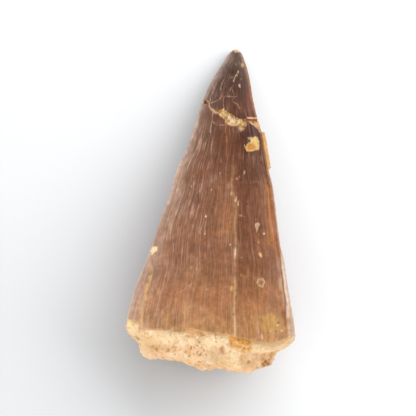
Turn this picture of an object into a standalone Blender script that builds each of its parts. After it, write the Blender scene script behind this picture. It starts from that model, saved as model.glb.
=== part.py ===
"""A fossil mosasaur tooth, lying on its rounded lingual side with the flatter labial face up.

+Y runs towards the tip, +X to the right of the labial face seen from above, +Z up.
Every size is in millimetres until the mesh is made in metres.
The crown is a loft between unlike sections: a worn round nose at the tip, a lens higher up, a D at the base.
"""

import math

import bmesh
import bpy
import numpy as np
from mathutils import Vector, noise

METRES = 0.001

# Overall sizes.
TIP_Y = 25.0
NOSE = 1.0  # length of the worn, rounded tip
KEEL = 0.16  # how far each carina stands out of the section

# Lines along the tooth, each as (y, value).
LEFT_EDGE = (
    (25.0, 3.2), (23.8, 2.65), (21.9, 1.45), (20.1, 0.35), (17.6, -0.75), (15.1, -1.65), (12.6, -2.4),
    (9.5, -3.45), (7.0, -4.75), (5.2, -5.35), (2.7, -6.05), (-1.0, -7.45), (-4.7, -8.85), (-8.4, -10.2),
    (-10.9, -11.3), (-13.4, -12.05), (-15.9, -12.75), (-17.8, -13.1), (-21.0, -13.0),
)
RIGHT_EDGE = (
    (25.0, 4.8), (23.8, 5.1), (22.5, 5.55), (20.1, 6.1), (17.6, 6.5), (15.1, 7.05), (13.2, 7.65),
    (6.4, 8.95), (3.9, 9.55), (1.5, 9.9), (-3.5, 10.5), (-6.0, 10.9), (-7.2, 11.3), (-9.7, 11.75),
    (-12.2, 12.15), (-15.9, 12.8), (-17.8, 13.1), (-21.0, 13.15),
)
LINGUAL_LINE = (
    (25.0, 0.35), (23.5, 0.02), (21.0, 0.15), (16.0, 0.6), (9.0, 1.0), (2.0, 1.0), (-6.0, 0.75),
    (-13.0, 0.5), (-18.0, 0.4), (-21.0, 0.5),
)
LABIAL_LINE = (
    (25.0, 2.0), (23.5, 2.9), (21.0, 4.45), (16.0, 7.2), (9.0, 10.5), (2.0, 13.4), (-6.0, 16.2),
    (-13.0, 18.4), (-18.0, 19.5), (-21.0, 19.7),
)
KEEL_HEIGHT = ((25.0, 0.5), (16.0, 0.58), (2.0, 0.66), (-18.0, 0.68))  # share of the thickness
LEFT_BULGE = ((25.0, 0.0), (-2.0, 0.0), (-7.0, 1.0), (-10.0, 1.75), (-14.0, 2.1), (-18.0, 2.4))
RIGHT_BULGE = ((25.0, 0.0), (-5.0, 0.0), (-9.0, 0.3), (-13.4, 0.8), (-18.0, 1.0))

# Labial facets, as (place across, share of the rise). The left carina is at -1 and the right one at 1.
FACETS = ((-1.0, 0.0), (-0.66, 0.52), (-0.2, 0.93), (0.3, 1.0), (0.75, 0.55), (1.0, 0.0))
FACET_SHARE = 0.4  # the rest of the labial form is a smooth dome
DOME_POWER = 2.2
LINGUAL_POWER = 2.5

# The healed break of the tip, as (place across, y) of its upper and lower edge on the labial face.
BREAK_UPPER = (
    (-1.0, 17.1), (-0.6, 16.1), (-0.43, 15.5), (-0.12, 15.8), (0.15, 14.6), (0.5, 14.15), (0.85, 14.0),
    (1.0, 12.45),
)
BREAK_LOWER = (
    (-1.0, 16.9), (-0.6, 15.8), (-0.43, 15.2), (-0.1, 14.3), (0.0, 13.4), (0.4, 12.6), (0.62, 13.2),
    (0.75, 13.5), (1.0, 12.1),
)
BREAK_BACK_WIDTH = 0.5  # height of the filled gap round the lingual side
BREAK_DEPTH = 0.2

# A sliver of the right carina stands proud below the break and ends in a step.
STRIP_TOP = 12.1
STRIP_END = 6.75
STRIP_STEP = 0.2  # length of the step
STRIP_OUT = 0.45

# The enamel's lower edge, as (place across, y) on the labial face, and (turn, y) round the lingual side.
ENAMEL_EDGE_LABIAL = (
    (-1.0, -17.0), (-0.93, -18.0), (-0.6, -18.1), (-0.5, -18.55), (-0.42, -18.5), (-0.35, -18.1),
    (-0.25, -18.1), (0.0, -18.7), (0.25, -19.5), (0.6, -20.5), (0.8, -20.7), (1.0, -19.7),
)
ENAMEL_EDGE_LINGUAL = (
    (1.0, -17.0), (1.1, -15.8), (1.3, -18.2), (1.5, -20.2), (1.7, -20.0), (1.9, -18.4), (2.0, -19.7),
)

# The broken root. Its end is a line of (x, y) in plan. Its section shrinks by (height above the end, share).
ROOT_END = (
    (-12.0, -22.7), (-10.5, -22.8), (-9.1, -23.15), (-6.0, -23.2), (-4.1, -23.9), (-1.5, -24.6),
    (-0.7, -24.65), (0.4, -24.3), (2.4, -24.3), (3.6, -24.7), (5.0, -24.95), (6.0, -24.9), (6.9, -24.5),
    (8.3, -24.2), (12.0, -23.6),
)
ROOT_SHRINK_ACROSS = (
    (0.0, 0.0), (0.03, 0.16), (0.07, 0.34), (0.125, 0.5), (0.2, 0.62), (0.35, 0.72), (0.65, 0.78),
    (1.3, 0.81), (2.0, 0.83), (2.5, 0.865), (3.2, 0.93), (3.8, 0.98), (4.4, 0.995), (9.0, 1.0),
)
ROOT_SHRINK_UP = (
    (0.0, 0.0), (0.03, 0.1), (0.07, 0.2), (0.125, 0.28), (0.25, 0.36), (0.5, 0.46), (0.8, 0.54),
    (1.6, 0.67), (2.5, 0.78), (3.4, 0.88), (4.3, 0.95), (5.0, 0.985), (9.0, 0.995),
)
ROOT_CENTRE = (0.2, 8.5)  # x and z of the middle of the broken end
ROOT_KNOBS = ((-5.4, -20.6, 1.1), (5.6, -20.9, 1.1))  # x, y and height of the two knobs that it rests on
KNOB_RADIUS = 2.4
ROOT_LUMPS = (  # x, y, radius and height, in plan on the side that faces up
    (1.1, -22.6, 1.5, 0.6), (1.0, -20.0, 1.6, 0.3), (8.5, -21.2, 2.0, 0.35), (4.6, -20.6, 1.5, 0.25),
    (-8.0, -19.8, 2.2, 0.3), (-7.5, -22.6, 1.8, 0.35), (4.8, -23.6, 1.3, 0.35),
)
ROOT_GROOVES = (  # from x, y to x, y, half width and depth, in plan on the side that faces up
    (-9.2, -20.8, -3.5, -21.3, 0.5, 0.4), (-3.5, -21.3, 1.8, -20.9, 0.45, 0.35),
    (6.0, -22.1, 10.2, -21.9, 0.5, 0.4),
)

# Where enamel has flaked off. The large chip is an outline round its own middle, in plan.
CHIP_AT = (6.55, 10.35)
CHIP = (
    (-1.25, 0.1), (-0.8, -1.15), (1.05, -0.75), (1.25, -0.05), (1.0, 0.8), (0.75, 1.25), (0.2, 1.1),
    (-0.55, 0.95), (-0.2, 0.6), (-0.5, 0.25),
)
CHIP_DEPTH = 0.35
NOTCH_AT = (-1.32, 17.0)
NOTCH_SIDE = 0.8
SMALL_CHIPS = (  # x, y and radius, on the labial face
    (-8.4, -6.2, 0.5), (7.6, -2.0, 0.4), (7.9, -5.2, 0.45), (7.9, -6.7, 0.4), (8.0, -11.1, 0.55),
    (5.7, 3.9, 0.4),
)
ROOT_PITS = (  # turn round the section, share of the way up from the broken end, and radius
    (1.03, 0.42, 0.55), (0.03, 0.16, 0.7), (0.55, 0.5, 0.5), (0.36, 0.4, 0.55), (1.25, 0.02, 0.9),
    (1.72, 0.05, 0.8), (0.8, 0.03, 0.8),
)
PEBBLE_STRETCH = (1.35, 0.85, 1.0)  # shape of what flakes and pits are scooped with
PEBBLE_RAISED = 0.55  # share of its radius that its middle stays above the surface

# How finely the loft is cut.
LABIAL_STEPS = 28
LINGUAL_STEPS = 40
TIP_RINGS = (0.012, 0.04, 0.08, 0.14, 0.22, 0.31, 0.41, 0.51, 0.61, 0.71, 0.81, 0.91, 1.0)
BREAK_RINGS = (0.15, 0.5, 0.85)
CROWN_RING_COUNT = 29
ROOT_RINGS = (0.98, 0.88, 0.77, 0.66, 0.55, 0.44, 0.33, 0.22, 0.13, 0.07, 0.04, 0.025, 0.014, 0.006)

ROUGHNESS = 0.45  # roughness value of all three surfaces
COLOURS = {"enamel": (0.27, 0.12, 0.065), "fill": (0.75, 0.46, 0.21), "root": (0.82, 0.6, 0.37)}


def through(points, at):
    """The smooth curve through (place, value) points, read at one or many places."""
    places, values = np.array(sorted(points)).T
    slopes = np.gradient(values, places)
    at = np.clip(at, places[0], places[-1])
    i = np.clip(np.searchsorted(places, at) - 1, 0, len(places) - 2)
    span = places[i + 1] - places[i]
    t = (at - places[i]) / span
    ends = values[i] * (1 + 2 * t) * (1 - t) ** 2 + values[i + 1] * t * t * (3 - 2 * t)
    return ends + span * t * (1 - t) * (slopes[i] * (1 - t) - slopes[i + 1] * t)


def straight(points, at):
    """The straight-sided line through (place, value) points."""
    places, values = np.array(points).T
    return np.interp(at, places, values)


def across(turn):
    """Place across for a turn round the section: 0 to 1 is labial, right to left, and 1 to 2 is lingual."""
    return np.where(turn < 1, 1 - 2 * turn, 2 * turn - 3)


def labial_height(place):
    """Share of the labial rise at a place across."""
    dome = 1 - np.abs(place) ** DOME_POWER
    return (1 - FACET_SHARE) * dome + FACET_SHARE * straight(FACETS, place)


def strip(y):
    """How far the sliver on the right carina stands out."""
    below_top = np.clip((STRIP_TOP - y) / STRIP_STEP, 0, 1)
    above_end = np.clip((y - STRIP_END + STRIP_STEP) / STRIP_STEP, 0, 1)
    return STRIP_OUT * below_top * above_end


def section(turn, y):
    """Points of the crown, without surface detail, as x and z for arrays of turn and y."""
    left, right = through(LEFT_EDGE, y), through(RIGHT_EDGE, y)
    low, high = through(LINGUAL_LINE, y), through(LABIAL_LINE, y)
    keel_z = low + (high - low) * through(KEEL_HEIGHT, y)
    bulges = np.maximum(through(LEFT_BULGE, y), 0), np.maximum(through(RIGHT_BULGE, y), 0)
    left_keel, right_keel = left + bulges[0], right - bulges[1]
    middle, outer, depth = (left + right) / 2, (right - left) / 2, keel_z - low

    place = across(turn)
    labial_x = left_keel + (right_keel - left_keel) * (place + 1) / 2
    labial_z = keel_z + (high - keel_z) * labial_height(place)

    # The lingual side swells out from the keel to the outline over a share of the depth, then rounds under.
    side = np.where(place < 0, -1.0, 1.0)
    bulge = np.where(place < 0, bulges[0], bulges[1])
    swell = 0.3 * bulge / (bulge + 0.5)
    swell_share = swell * depth / (swell * depth + 0.9 * (outer + depth))
    along = 1 - np.abs(place)
    rising = np.clip(along / np.maximum(swell_share, 1e-6), 0, 1)
    round_angle = np.clip((along - swell_share) / (1 - swell_share), 0, 1) * math.pi / 2
    in_swell = along < swell_share
    half = np.where(
        in_swell,
        outer - bulge * (1 - np.sin(rising * math.pi / 2)),
        outer * np.cos(round_angle) ** (2 / LINGUAL_POWER),
    )
    rounded = np.sin(round_angle) ** (2 / LINGUAL_POWER)
    down = np.where(in_swell, swell * rising, swell + (1 - swell) * rounded)
    x = np.where(turn < 1, labial_x, middle + side * half)
    z = np.where(turn < 1, labial_z, keel_z - depth * down)

    below_tip = np.clip((TIP_Y - y) / NOSE, 0, 1)
    nose = np.sqrt(1 - (1 - below_tip) ** 2)
    centre_z = (low + high) / 2
    return middle + (x - middle) * nose, centre_z + (z - centre_z) * nose


def break_edges(turn):
    """The y of the break's upper and lower edge at each turn."""
    place = across(turn)
    back_upper = straight((BREAK_UPPER[0], BREAK_UPPER[-1]), place)
    upper = np.where(turn < 1, straight(BREAK_UPPER, place), back_upper)
    lower = np.where(turn < 1, straight(BREAK_LOWER, place), back_upper - BREAK_BACK_WIDTH)
    return upper, lower


def enamel_edge(turn):
    """The y of the enamel's lower edge at each turn."""
    labial = straight(ENAMEL_EDGE_LABIAL, across(turn))
    return np.where(turn < 1, labial, straight(ENAMEL_EDGE_LINGUAL, turn))


def root_ring(turn, share):
    """One ring of the root, at a share of the way from its broken end (0) up to the enamel (1)."""
    edge = enamel_edge(turn)
    x, z = section(turn, edge)
    from_x, from_z = x - ROOT_CENTRE[0], z - ROOT_CENTRE[1]
    # The end's y depends on where the ring comes to lie, so the place is closed in on in a few steps.
    for _ in range(4):
        end = through(ROOT_END, x)
        rise = share * (edge - end)
        x = ROOT_CENTRE[0] + from_x * straight(ROOT_SHRINK_ACROSS, rise)
    shrink_z = np.where(from_z > 0, straight(ROOT_SHRINK_UP, rise), straight(ROOT_SHRINK_ACROSS, rise))
    return np.stack((x, end + rise, ROOT_CENTRE[1] + from_z * shrink_z), axis=-1)


def crown_ring(turn, y):
    x, z = section(turn, y)
    return np.stack((x, np.broadcast_to(y, turn.shape), z), axis=-1)


def grain(points, size, seed):
    """Smooth noise from -1 to 1 at each point, with lumps of the given size."""
    offset = Vector((seed, 2.7 * seed, -1.3 * seed))
    return np.array([noise.noise(Vector(p) / size + offset) for p in points])


def from_line(points, start, end):
    """Distance in plan of each point from a straight line between two places."""
    start, along = np.array(start), np.subtract(end, start)
    offset = points[:, :2] - start
    share = np.clip(offset @ along / (along @ along), 0, 1)
    return np.linalg.norm(offset - share[:, None] * along, axis=1)


def outward(rings):
    """Unit vectors out of the surface at every point of the rings."""
    round_ring = np.roll(rings, -1, axis=1) - np.roll(rings, 1, axis=1)
    along = np.gradient(rings, axis=0)
    normals = np.cross(round_ring, along)
    return normals / np.maximum(np.linalg.norm(normals, axis=-1, keepdims=True), 1e-9)


def make_rings():
    """All rings from tip to root, with their relief, and the name of the surface that each ring ends."""
    steps_labial = np.arange(LABIAL_STEPS) / LABIAL_STEPS
    steps_lingual = 1 + np.arange(LINGUAL_STEPS) / LINGUAL_STEPS
    turn = np.concatenate((steps_labial, steps_lingual))
    upper, lower = break_edges(turn)
    edge = enamel_edge(turn)
    rings = [crown_ring(turn, TIP_Y - share * (TIP_Y - upper)) for share in TIP_RINGS]
    surfaces = ["enamel"] * len(rings)
    first_fill = len(rings)
    for share in BREAK_RINGS:
        rings.append(crown_ring(turn, upper + share * (lower - upper)))
        surfaces.append("fill")
    last_fill = len(rings)
    # One ring lies on each side of the step where the sliver on the right carina ends.
    drop_right = lower[0] - edge[0]
    step_shares = [(lower[0] - STRIP_END + step) / drop_right for step in (0, STRIP_STEP)]
    shares = np.linspace(0, 1, CROWN_RING_COUNT)
    shares = [s for s in shares if min(abs(s - step) for step in step_shares) > 0.5 / CROWN_RING_COUNT]
    for share in sorted(shares + step_shares):
        rings.append(crown_ring(turn, lower + share * (edge - lower)))
        surfaces.append("enamel")
    first_root = len(rings)
    for share in ROOT_RINGS:
        rings.append(root_ring(turn, share))
        surfaces.append("root")
    rings = np.array(rings)

    relief = np.zeros(rings.shape[:2])
    relief[1:first_root, 0] += KEEL
    relief[1:first_root, LABIAL_STEPS] += KEEL
    right_keel_y = rings[:first_root, 0, 1]
    relief[:first_root, 0] += strip(right_keel_y)
    for neighbour in (1, len(turn) - 1):
        relief[:first_root, neighbour] += strip(right_keel_y) / 2
    fill = rings[first_fill:last_fill].reshape(-1, 3)
    relief[first_fill:last_fill] -= BREAK_DEPTH * (1 - 0.7 * grain(fill, 1.1, 3)).reshape(-1, len(turn))
    root = rings[first_root:].reshape(-1, 3)
    facing_up = root[:, 2] > ROOT_CENTRE[1]
    lumps = 0.3 * grain(root, 3.4, 7) + 0.25 * grain(root, 1.6, 12)
    for x, y, radius, height in ROOT_LUMPS:
        near = np.exp(-((root[:, 0] - x) ** 2 + (root[:, 1] - y) ** 2) / radius**2)
        lumps += height * near * facing_up
    for x1, y1, x2, y2, half_width, depth in ROOT_GROOVES:
        away = from_line(root, (x1, y1), (x2, y2))
        lumps -= depth * np.exp(-((away / half_width) ** 2)) * facing_up
    relief[first_root:] += lumps.reshape(-1, len(turn))
    rings += relief[..., None] * outward(rings)

    # The knobs push the underside straight down, so that the tooth rests on them and on its tip.
    underside = rings[..., 2] < ROOT_CENTRE[1] / 2
    for x, y, height in ROOT_KNOBS:
        near = np.exp(-((rings[..., 0] - x) ** 2 + (rings[..., 1] - y) ** 2) / KNOB_RADIUS**2)
        rings[..., 2] -= height * near * underside
    return rings, surfaces


def loft(name, rings, surfaces, tip, end):
    """A closed mesh through the rings, with a point at each end."""
    mesh = bpy.data.meshes.new(name)
    bm = bmesh.new()
    loops = [[bm.verts.new(point * METRES) for point in ring] for ring in rings]
    slots = list(COLOURS)
    count = len(loops[0])
    for ring, (upper, lower) in enumerate(zip(loops, loops[1:])):
        for j in range(count):
            k = (j + 1) % count
            face = bm.faces.new((upper[j], upper[k], lower[k], lower[j]))
            face.material_index = slots.index(surfaces[ring + 1])
    for point, ring, surface in ((tip, loops[0], surfaces[0]), (end, loops[-1][::-1], surfaces[-1])):
        pole = bm.verts.new(Vector(point) * METRES)
        for j in range(count):
            face = bm.faces.new((pole, ring[(j + 1) % count], ring[j]))
            face.material_index = slots.index(surface)
    bmesh.ops.triangulate(bm, faces=bm.faces[:])
    bmesh.ops.recalc_face_normals(bm, faces=bm.faces[:])
    bm.to_mesh(mesh)
    bm.free()
    return bpy.data.objects.new(name, mesh)


def on_labial_face(x, y):
    """The point of the labial face over a place in plan, and the direction out of the face there."""
    def height(px, py):
        left = through(LEFT_EDGE, py) + through(LEFT_BULGE, py)
        right = through(RIGHT_EDGE, py) - through(RIGHT_BULGE, py)
        place = 2 * (px - left) / (right - left) - 1
        return float(section(np.array((1 - place) / 2), np.array(py))[1])

    step = 0.2
    slope_x = (height(x + step, y) - height(x - step, y)) / (2 * step)
    slope_y = (height(x, y + step) - height(x, y - step)) / (2 * step)
    return Vector((x, y, height(x, y))), Vector((-slope_x, -slope_y, 1)).normalized()


def add_material(surface):
    material = bpy.data.materials.new(surface)
    material.use_nodes = True
    shader = material.node_tree.nodes["Principled BSDF"]
    shader.inputs["Base Color"].default_value = (*COLOURS[surface], 1)
    shader.inputs["Roughness"].default_value = ROUGHNESS
    shader.inputs["Metallic"].default_value = 0
    return material


def cut(tooth, cutter, collection):
    """Takes the cutter out of the tooth, and keeps the cutter as a hidden guide."""
    for other in cutter.users_collection:
        other.objects.unlink(cutter)
    collection.objects.link(cutter)
    cutter.hide_render = True
    cutter.display_type = "WIRE"
    modifier = tooth.modifiers.new(cutter.name, "BOOLEAN")
    modifier.operation = "DIFFERENCE"
    modifier.solver = "EXACT"
    modifier.object = cutter


def pebble(name, centre, radius, turn):
    """A ball drawn out to one side, turned by its own angle so that no two hollows look alike."""
    bpy.ops.mesh.primitive_ico_sphere_add(subdivisions=2, radius=radius * METRES, location=centre * METRES)
    made = bpy.context.object
    made.name = name
    made.scale = PEBBLE_STRETCH
    made.rotation_euler = (turn, 0.6 * turn, 1.7 * turn)
    return made


def chip_cutter():
    """A prism with the chip's outline, square to the labial face, reaching CHIP_DEPTH under it."""
    point, normal = on_labial_face(*CHIP_AT)
    turned = normal.to_track_quat("Z", "Y")
    reach = 2.0
    curve = bpy.data.curves.new("chip_outline", "CURVE")
    curve.dimensions = "2D"
    curve.fill_mode = "BOTH"
    curve.extrude = reach / 2 * METRES
    spline = curve.splines.new("POLY")
    spline.points.add(len(CHIP) - 1)
    spline.use_cyclic_u = True
    for target, (dx, dy) in zip(spline.points, CHIP):
        on_plane = Vector((dx, dy, -(normal.x * dx + normal.y * dy) / normal.z))
        flat = turned.inverted() @ on_plane
        target.co = (flat.x * METRES, flat.y * METRES, 0, 1)
    outline = bpy.data.objects.new("chip_outline", curve)
    bpy.context.scene.collection.objects.link(outline)
    outline.rotation_mode = "QUATERNION"
    outline.rotation_quaternion = turned
    outline.location = (point + normal * (reach / 2 - CHIP_DEPTH)) * METRES
    bpy.context.view_layer.update()
    mesh = bpy.data.meshes.new_from_object(outline.evaluated_get(bpy.context.evaluated_depsgraph_get()))
    bm = bmesh.new()
    bm.from_mesh(mesh)
    bmesh.ops.remove_doubles(bm, verts=bm.verts[:], dist=1e-6)
    bm.to_mesh(mesh)
    bm.free()
    cutter = bpy.data.objects.new("chip_cutter", mesh)
    cutter.matrix_world = outline.matrix_world
    bpy.data.objects.remove(outline)
    return cutter


def notch_cutter():
    """A square bar stood on its corner, where the break meets the left carina."""
    x, y = NOTCH_AT
    bpy.ops.mesh.primitive_cube_add(size=1, location=(x * METRES, y * METRES, 4 * METRES))
    made = bpy.context.object
    made.name = "notch_cutter"
    made.scale = (NOTCH_SIDE * METRES, NOTCH_SIDE * METRES, 8 * METRES)
    made.rotation_euler.z = math.radians(45)
    return made


def main():
    for old in list(bpy.data.objects):
        bpy.data.objects.remove(old)
    parts = bpy.data.collections.new("fossil mosasaur tooth")
    cutters = bpy.data.collections.new("cutters")
    for collection in (parts, cutters):
        bpy.context.scene.collection.children.link(collection)

    rings, surfaces = make_rings()
    low, high = through(LINGUAL_LINE, TIP_Y), through(LABIAL_LINE, TIP_Y)
    tip_x = (through(LEFT_EDGE, TIP_Y) + through(RIGHT_EDGE, TIP_Y)) / 2
    tip = (tip_x, TIP_Y, (low + high) / 2)
    end = rings[-1].mean(axis=0)
    tooth = loft("tooth", rings, surfaces, tip, end)
    parts.objects.link(tooth)
    for surface in COLOURS:
        tooth.data.materials.append(add_material(surface))

    cut(tooth, chip_cutter(), cutters)
    cut(tooth, notch_cutter(), cutters)
    for i, (x, y, radius) in enumerate(SMALL_CHIPS):
        point, normal = on_labial_face(x, y)
        cut(tooth, pebble(f"flake_cutter_{i}", point + normal * radius * PEBBLE_RAISED, radius, i), cutters)
    for i, (turn, share, radius) in enumerate(ROOT_PITS):
        place = Vector(root_ring(np.array([turn]), share)[0])
        outwards = (place - Vector((ROOT_CENTRE[0], place.y + 2, ROOT_CENTRE[1]))).normalized()
        cut(tooth, pebble(f"pit_cutter_{i}", place + outwards * radius * PEBBLE_RAISED, radius, i), cutters)
    tooth.data.shade_smooth()
    tooth.data.set_sharp_from_angle(angle=math.radians(35))

    # The origin is the middle of the tooth's box, on the surface that it lies on.
    bpy.context.view_layer.update()
    made = tooth.evaluated_get(bpy.context.evaluated_depsgraph_get())
    corners = np.array([vertex.co for vertex in made.data.vertices])
    lowest, highest = corners.min(axis=0), corners.max(axis=0)
    shift = Vector((-(lowest[0] + highest[0]) / 2, -(lowest[1] + highest[1]) / 2, -lowest[2]))
    tooth.location = shift
    for cutter in cutters.objects:
        cutter.location += shift
    bpy.context.view_layer.update()


main()
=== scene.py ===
"""The looks of a fossil mosasaur tooth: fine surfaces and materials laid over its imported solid.

The tooth lies on its lingual side. +Y runs to the tip, +X to the right seen from above, and +Z up to the
camera. Lengths are in millimetres, with the origin of the tooth's own drawing, until a mesh is made in
metres.
A place across is -1 at the left carina and 1 at the right one. A turn round the section is 0 at the right
carina, 1 at the left one and 2 at the right one again, by way of the labial face and then the lingual side.
"""

import itertools
import math

import bpy
import numpy as np
from functools import partial
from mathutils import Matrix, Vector


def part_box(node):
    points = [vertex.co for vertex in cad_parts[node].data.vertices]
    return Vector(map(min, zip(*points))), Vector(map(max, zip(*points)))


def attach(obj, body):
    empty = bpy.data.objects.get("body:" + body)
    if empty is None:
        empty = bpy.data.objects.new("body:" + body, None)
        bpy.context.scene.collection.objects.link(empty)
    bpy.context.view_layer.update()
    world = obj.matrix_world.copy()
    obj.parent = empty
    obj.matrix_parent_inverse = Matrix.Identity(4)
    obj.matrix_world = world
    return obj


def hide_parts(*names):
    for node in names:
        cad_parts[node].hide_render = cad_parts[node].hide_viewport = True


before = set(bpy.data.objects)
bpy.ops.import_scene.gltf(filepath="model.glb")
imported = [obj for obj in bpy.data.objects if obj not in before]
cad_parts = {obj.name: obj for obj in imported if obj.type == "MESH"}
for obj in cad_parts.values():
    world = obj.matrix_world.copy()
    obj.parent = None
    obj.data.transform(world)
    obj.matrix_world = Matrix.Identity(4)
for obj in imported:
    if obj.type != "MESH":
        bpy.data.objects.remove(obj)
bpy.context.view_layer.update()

METRES = 0.001

# Overall form, nearly the same lines as the solid's.
TIP_Y = 25.2
WORN_TIP_X = 4.2
NOSE = 1.0  # length over which the tip thins
NOSE_ACROSS = 0.8  # length over which its blunt end narrows
LEFT_EDGE = (
    (25, 3.2), (23.8, 2.65), (21.9, 1.45), (20.1, 0.35), (17.6, -0.75), (15.1, -1.65), (12.6, -2.4),
    (9.5, -3.45), (7, -4.75), (5.2, -5.35), (2.7, -6.05), (-1, -7.45), (-4.7, -8.85), (-8.4, -10.2),
    (-10.9, -11.3), (-13.4, -12.05), (-15.9, -12.75), (-17.8, -13.1), (-21, -13),
)
RIGHT_EDGE = (
    (25, 4.8), (23.8, 5.1), (22.5, 5.55), (20.1, 6.1), (17.6, 6.5), (15.1, 7.05), (13.2, 7.65), (6.4, 8.95),
    (3.9, 9.55), (1.5, 9.9), (-3.5, 10.5), (-6, 10.9), (-7.2, 11.3), (-9.7, 11.75), (-12.2, 12.15),
    (-15.9, 12.8), (-17.8, 13.1), (-21, 13.15),
)
LINGUAL_LINE = (
    (25, 0.35), (23.5, 0.02), (21, 0.15), (16, 0.6), (9, 1), (2, 1), (-6, 0.75), (-13, 0.5), (-18, 0.4),
    (-21, 0.5),
)
LABIAL_LINE = (
    (25, 2), (23.5, 2.9), (21, 4.45), (16, 7.2), (9, 10.5), (2, 13.4), (-6, 16.2), (-13, 18.4), (-18, 19.5),
    (-21, 19.7),
)
KEEL_HEIGHT = ((25.0, 0.5), (16.0, 0.58), (2.0, 0.66), (-18.0, 0.68))
LEFT_BULGE = ((25.0, 0.0), (-2.0, 0.0), (-7.0, 1.0), (-10.0, 1.75), (-14.0, 2.1), (-18.0, 2.4))
RIGHT_BULGE = ((25.0, 0.0), (-5.0, 0.0), (-9.0, 0.3), (-13.4, 0.8), (-18.0, 1.0))
FACETS = ((-1.0, 0.0), (-0.66, 0.52), (-0.2, 0.93), (0.3, 1.0), (0.75, 0.55), (1.0, 0.0))
FACET_SHARE = 0.4
DOME_POWER = 2.2
LINGUAL_POWER = 2.5
ROOT_END = (
    (-12, -22.5), (-10.5, -22.6), (-9.1, -22.7), (-7, -22.55), (-5.1, -23.1), (-4.1, -23.4), (-1.5, -24.4),
    (-0.7, -24.55), (0.4, -24.25), (2.4, -24.25), (3.6, -24.4), (5, -24.6), (6, -24.65), (6.9, -24.45),
    (8.3, -24.2), (12, -23.6),
)
ROOT_SHRINK_ACROSS = (
    (0, 0), (0.03, 0.16), (0.07, 0.34), (0.125, 0.5), (0.2, 0.62), (0.35, 0.72), (0.65, 0.78), (1.3, 0.81),
    (2, 0.83), (2.5, 0.865), (3.2, 0.93), (3.8, 0.98), (4.4, 0.995), (9, 1),
)
ROOT_SHRINK_UP = (
    (0, 0), (0.03, 0.1), (0.07, 0.2), (0.125, 0.28), (0.25, 0.36), (0.5, 0.46), (0.8, 0.54), (1.6, 0.67),
    (2.5, 0.78), (3.4, 0.88), (4.3, 0.95), (5, 0.985), (9, 0.995),
)
ROOT_CENTRE = (0.2, 8.5)  # x and z of the middle of the broken end
ROOT_HIDDEN = (0.7, 0.35, 0.1)  # how far its topmost rows reach up behind the enamel

# How the root's rows are spaced: the share of them passed, and the share of the way left to its end.
ROOT_SPACING = ((0, 1), (0.62, 0.16), (0.75, 0.05), (1, 0.0012))

# Lumps of the root in plan, as x, y, radius and height: the knobs that it rests on, the lumps on the side
# that faces up, and the bulges and hollows of its outline.
ROOT_KNOBS = ((-5.4, -20.6, 2.4, 1.1), (5.6, -20.9, 2.4, 1.1))
ROOT_LUMPS = (
    (1.1, -22.6, 1.5, 0.6), (1, -20, 1.6, 0.3), (8.5, -21.2, 2, 0.35), (4.6, -20.6, 1.5, 0.25),
    (-8, -19.8, 2.2, 0.3), (-7.5, -22.6, 1.8, 0.35), (4.8, -23.6, 1.3, 0.35),
)
ROOT_OUTLINE_LUMPS = (
    (-11, -21.2, 1.3, 0.22), (-10.4, -22.4, 1, 0.6), (11.5, -21, 1, 0.28), (10.8, -22.4, 0.9, -0.5),
    (10.2, -23.4, 0.9, -0.4),
)

# Grooves of the root in plan, as the x and y of both ends, half width and depth.
ROOT_GROOVES = (
    (-9.2, -20.8, -3.5, -21.3, 0.5, 0.4), (-3.5, -21.3, 1.8, -20.9, 0.45, 0.35),
    (6, -22.1, 10.2, -21.9, 0.5, 0.4),
)

# The healed break of the tip, as places in plan along its upper and its lower edge.
BREAK_UPPER = (
    (-0.98, 17.15), (-0.45, 17.1), (-0.28, 16.85), (-0.05, 16.43), (0.36, 15.78), (0.85, 15.42),
    (1.24, 15.42), (1.38, 15.7), (2.09, 15.9), (2.81, 15.48), (3.61, 14.86), (4.06, 14.51), (4.59, 14.34),
    (5.66, 14.41), (6.12, 14.34), (7.05, 14.3), (7.25, 14.25),
)
BREAK_LOWER = (
    (-1, 16.74), (-0.45, 16.7), (-0.2, 16.45), (0.22, 15.68), (0.74, 15.25), (1.29, 15.1), (1.74, 14.6),
    (2.28, 14.34), (2.37, 13.62), (2.71, 13.44), (3.43, 13.35), (3.88, 13.18), (4.42, 13.18), (4.68, 12.46),
    (5.3, 12.73), (5.66, 13.35), (5.8, 13.85), (5.95, 14.1), (7, 14.06), (7.3, 13.95),
)
BREAK_BACK_WIDTH = 0.5
FILL_DEPTH = 0.1  # how far the filling stays below the enamel, before its lumps
FILL_UNDER = 0.35  # how far it reaches in under the enamel on both sides
LIP = (0.12, 0.3)  # depths of the points that turn the enamel's edge in, where it has broken

# The enamel's lower edge in plan, and then as (turn, y) round the lingual side.
ENAMEL_EDGE_LABIAL = (
    (-10.75, -17.2), (-10.6, -17.95), (-10.3, -18.29), (-9.07, -18.14), (-7.36, -18.21), (-6.91, -18.37),
    (-6.12, -18.29), (-5.5, -18.6), (-4.06, -18.65), (-3.49, -18.14), (-2.4, -18.14), (-1.57, -18.41),
    (-0.7, -18.52), (0.39, -18.75), (1.1, -18.75), (1.94, -19), (2.53, -18.9), (3.95, -19.4), (5.55, -19.6),
    (6.43, -19.95), (8.21, -20.2), (9.53, -20.35), (10.77, -20), (11.86, -19.5),
)
ENAMEL_EDGE_LINGUAL = (
    (1, -17.2), (1.1, -15.8), (1.3, -18.2), (1.5, -20.2), (1.7, -20), (1.9, -18.4), (2, -19.61),
)

# The sliver of the right carina that stands proud and ends in a step.
STRIP_TOP = 12.4
STRIP_END = 6.75
STRIP_STEP = 0.2
STRIP_OUT = 0.45
STRIP_WIDTH = 0.0095  # in turns
KEEL = 0.16
KEEL_WIDTH = 0.022  # in turns

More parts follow.
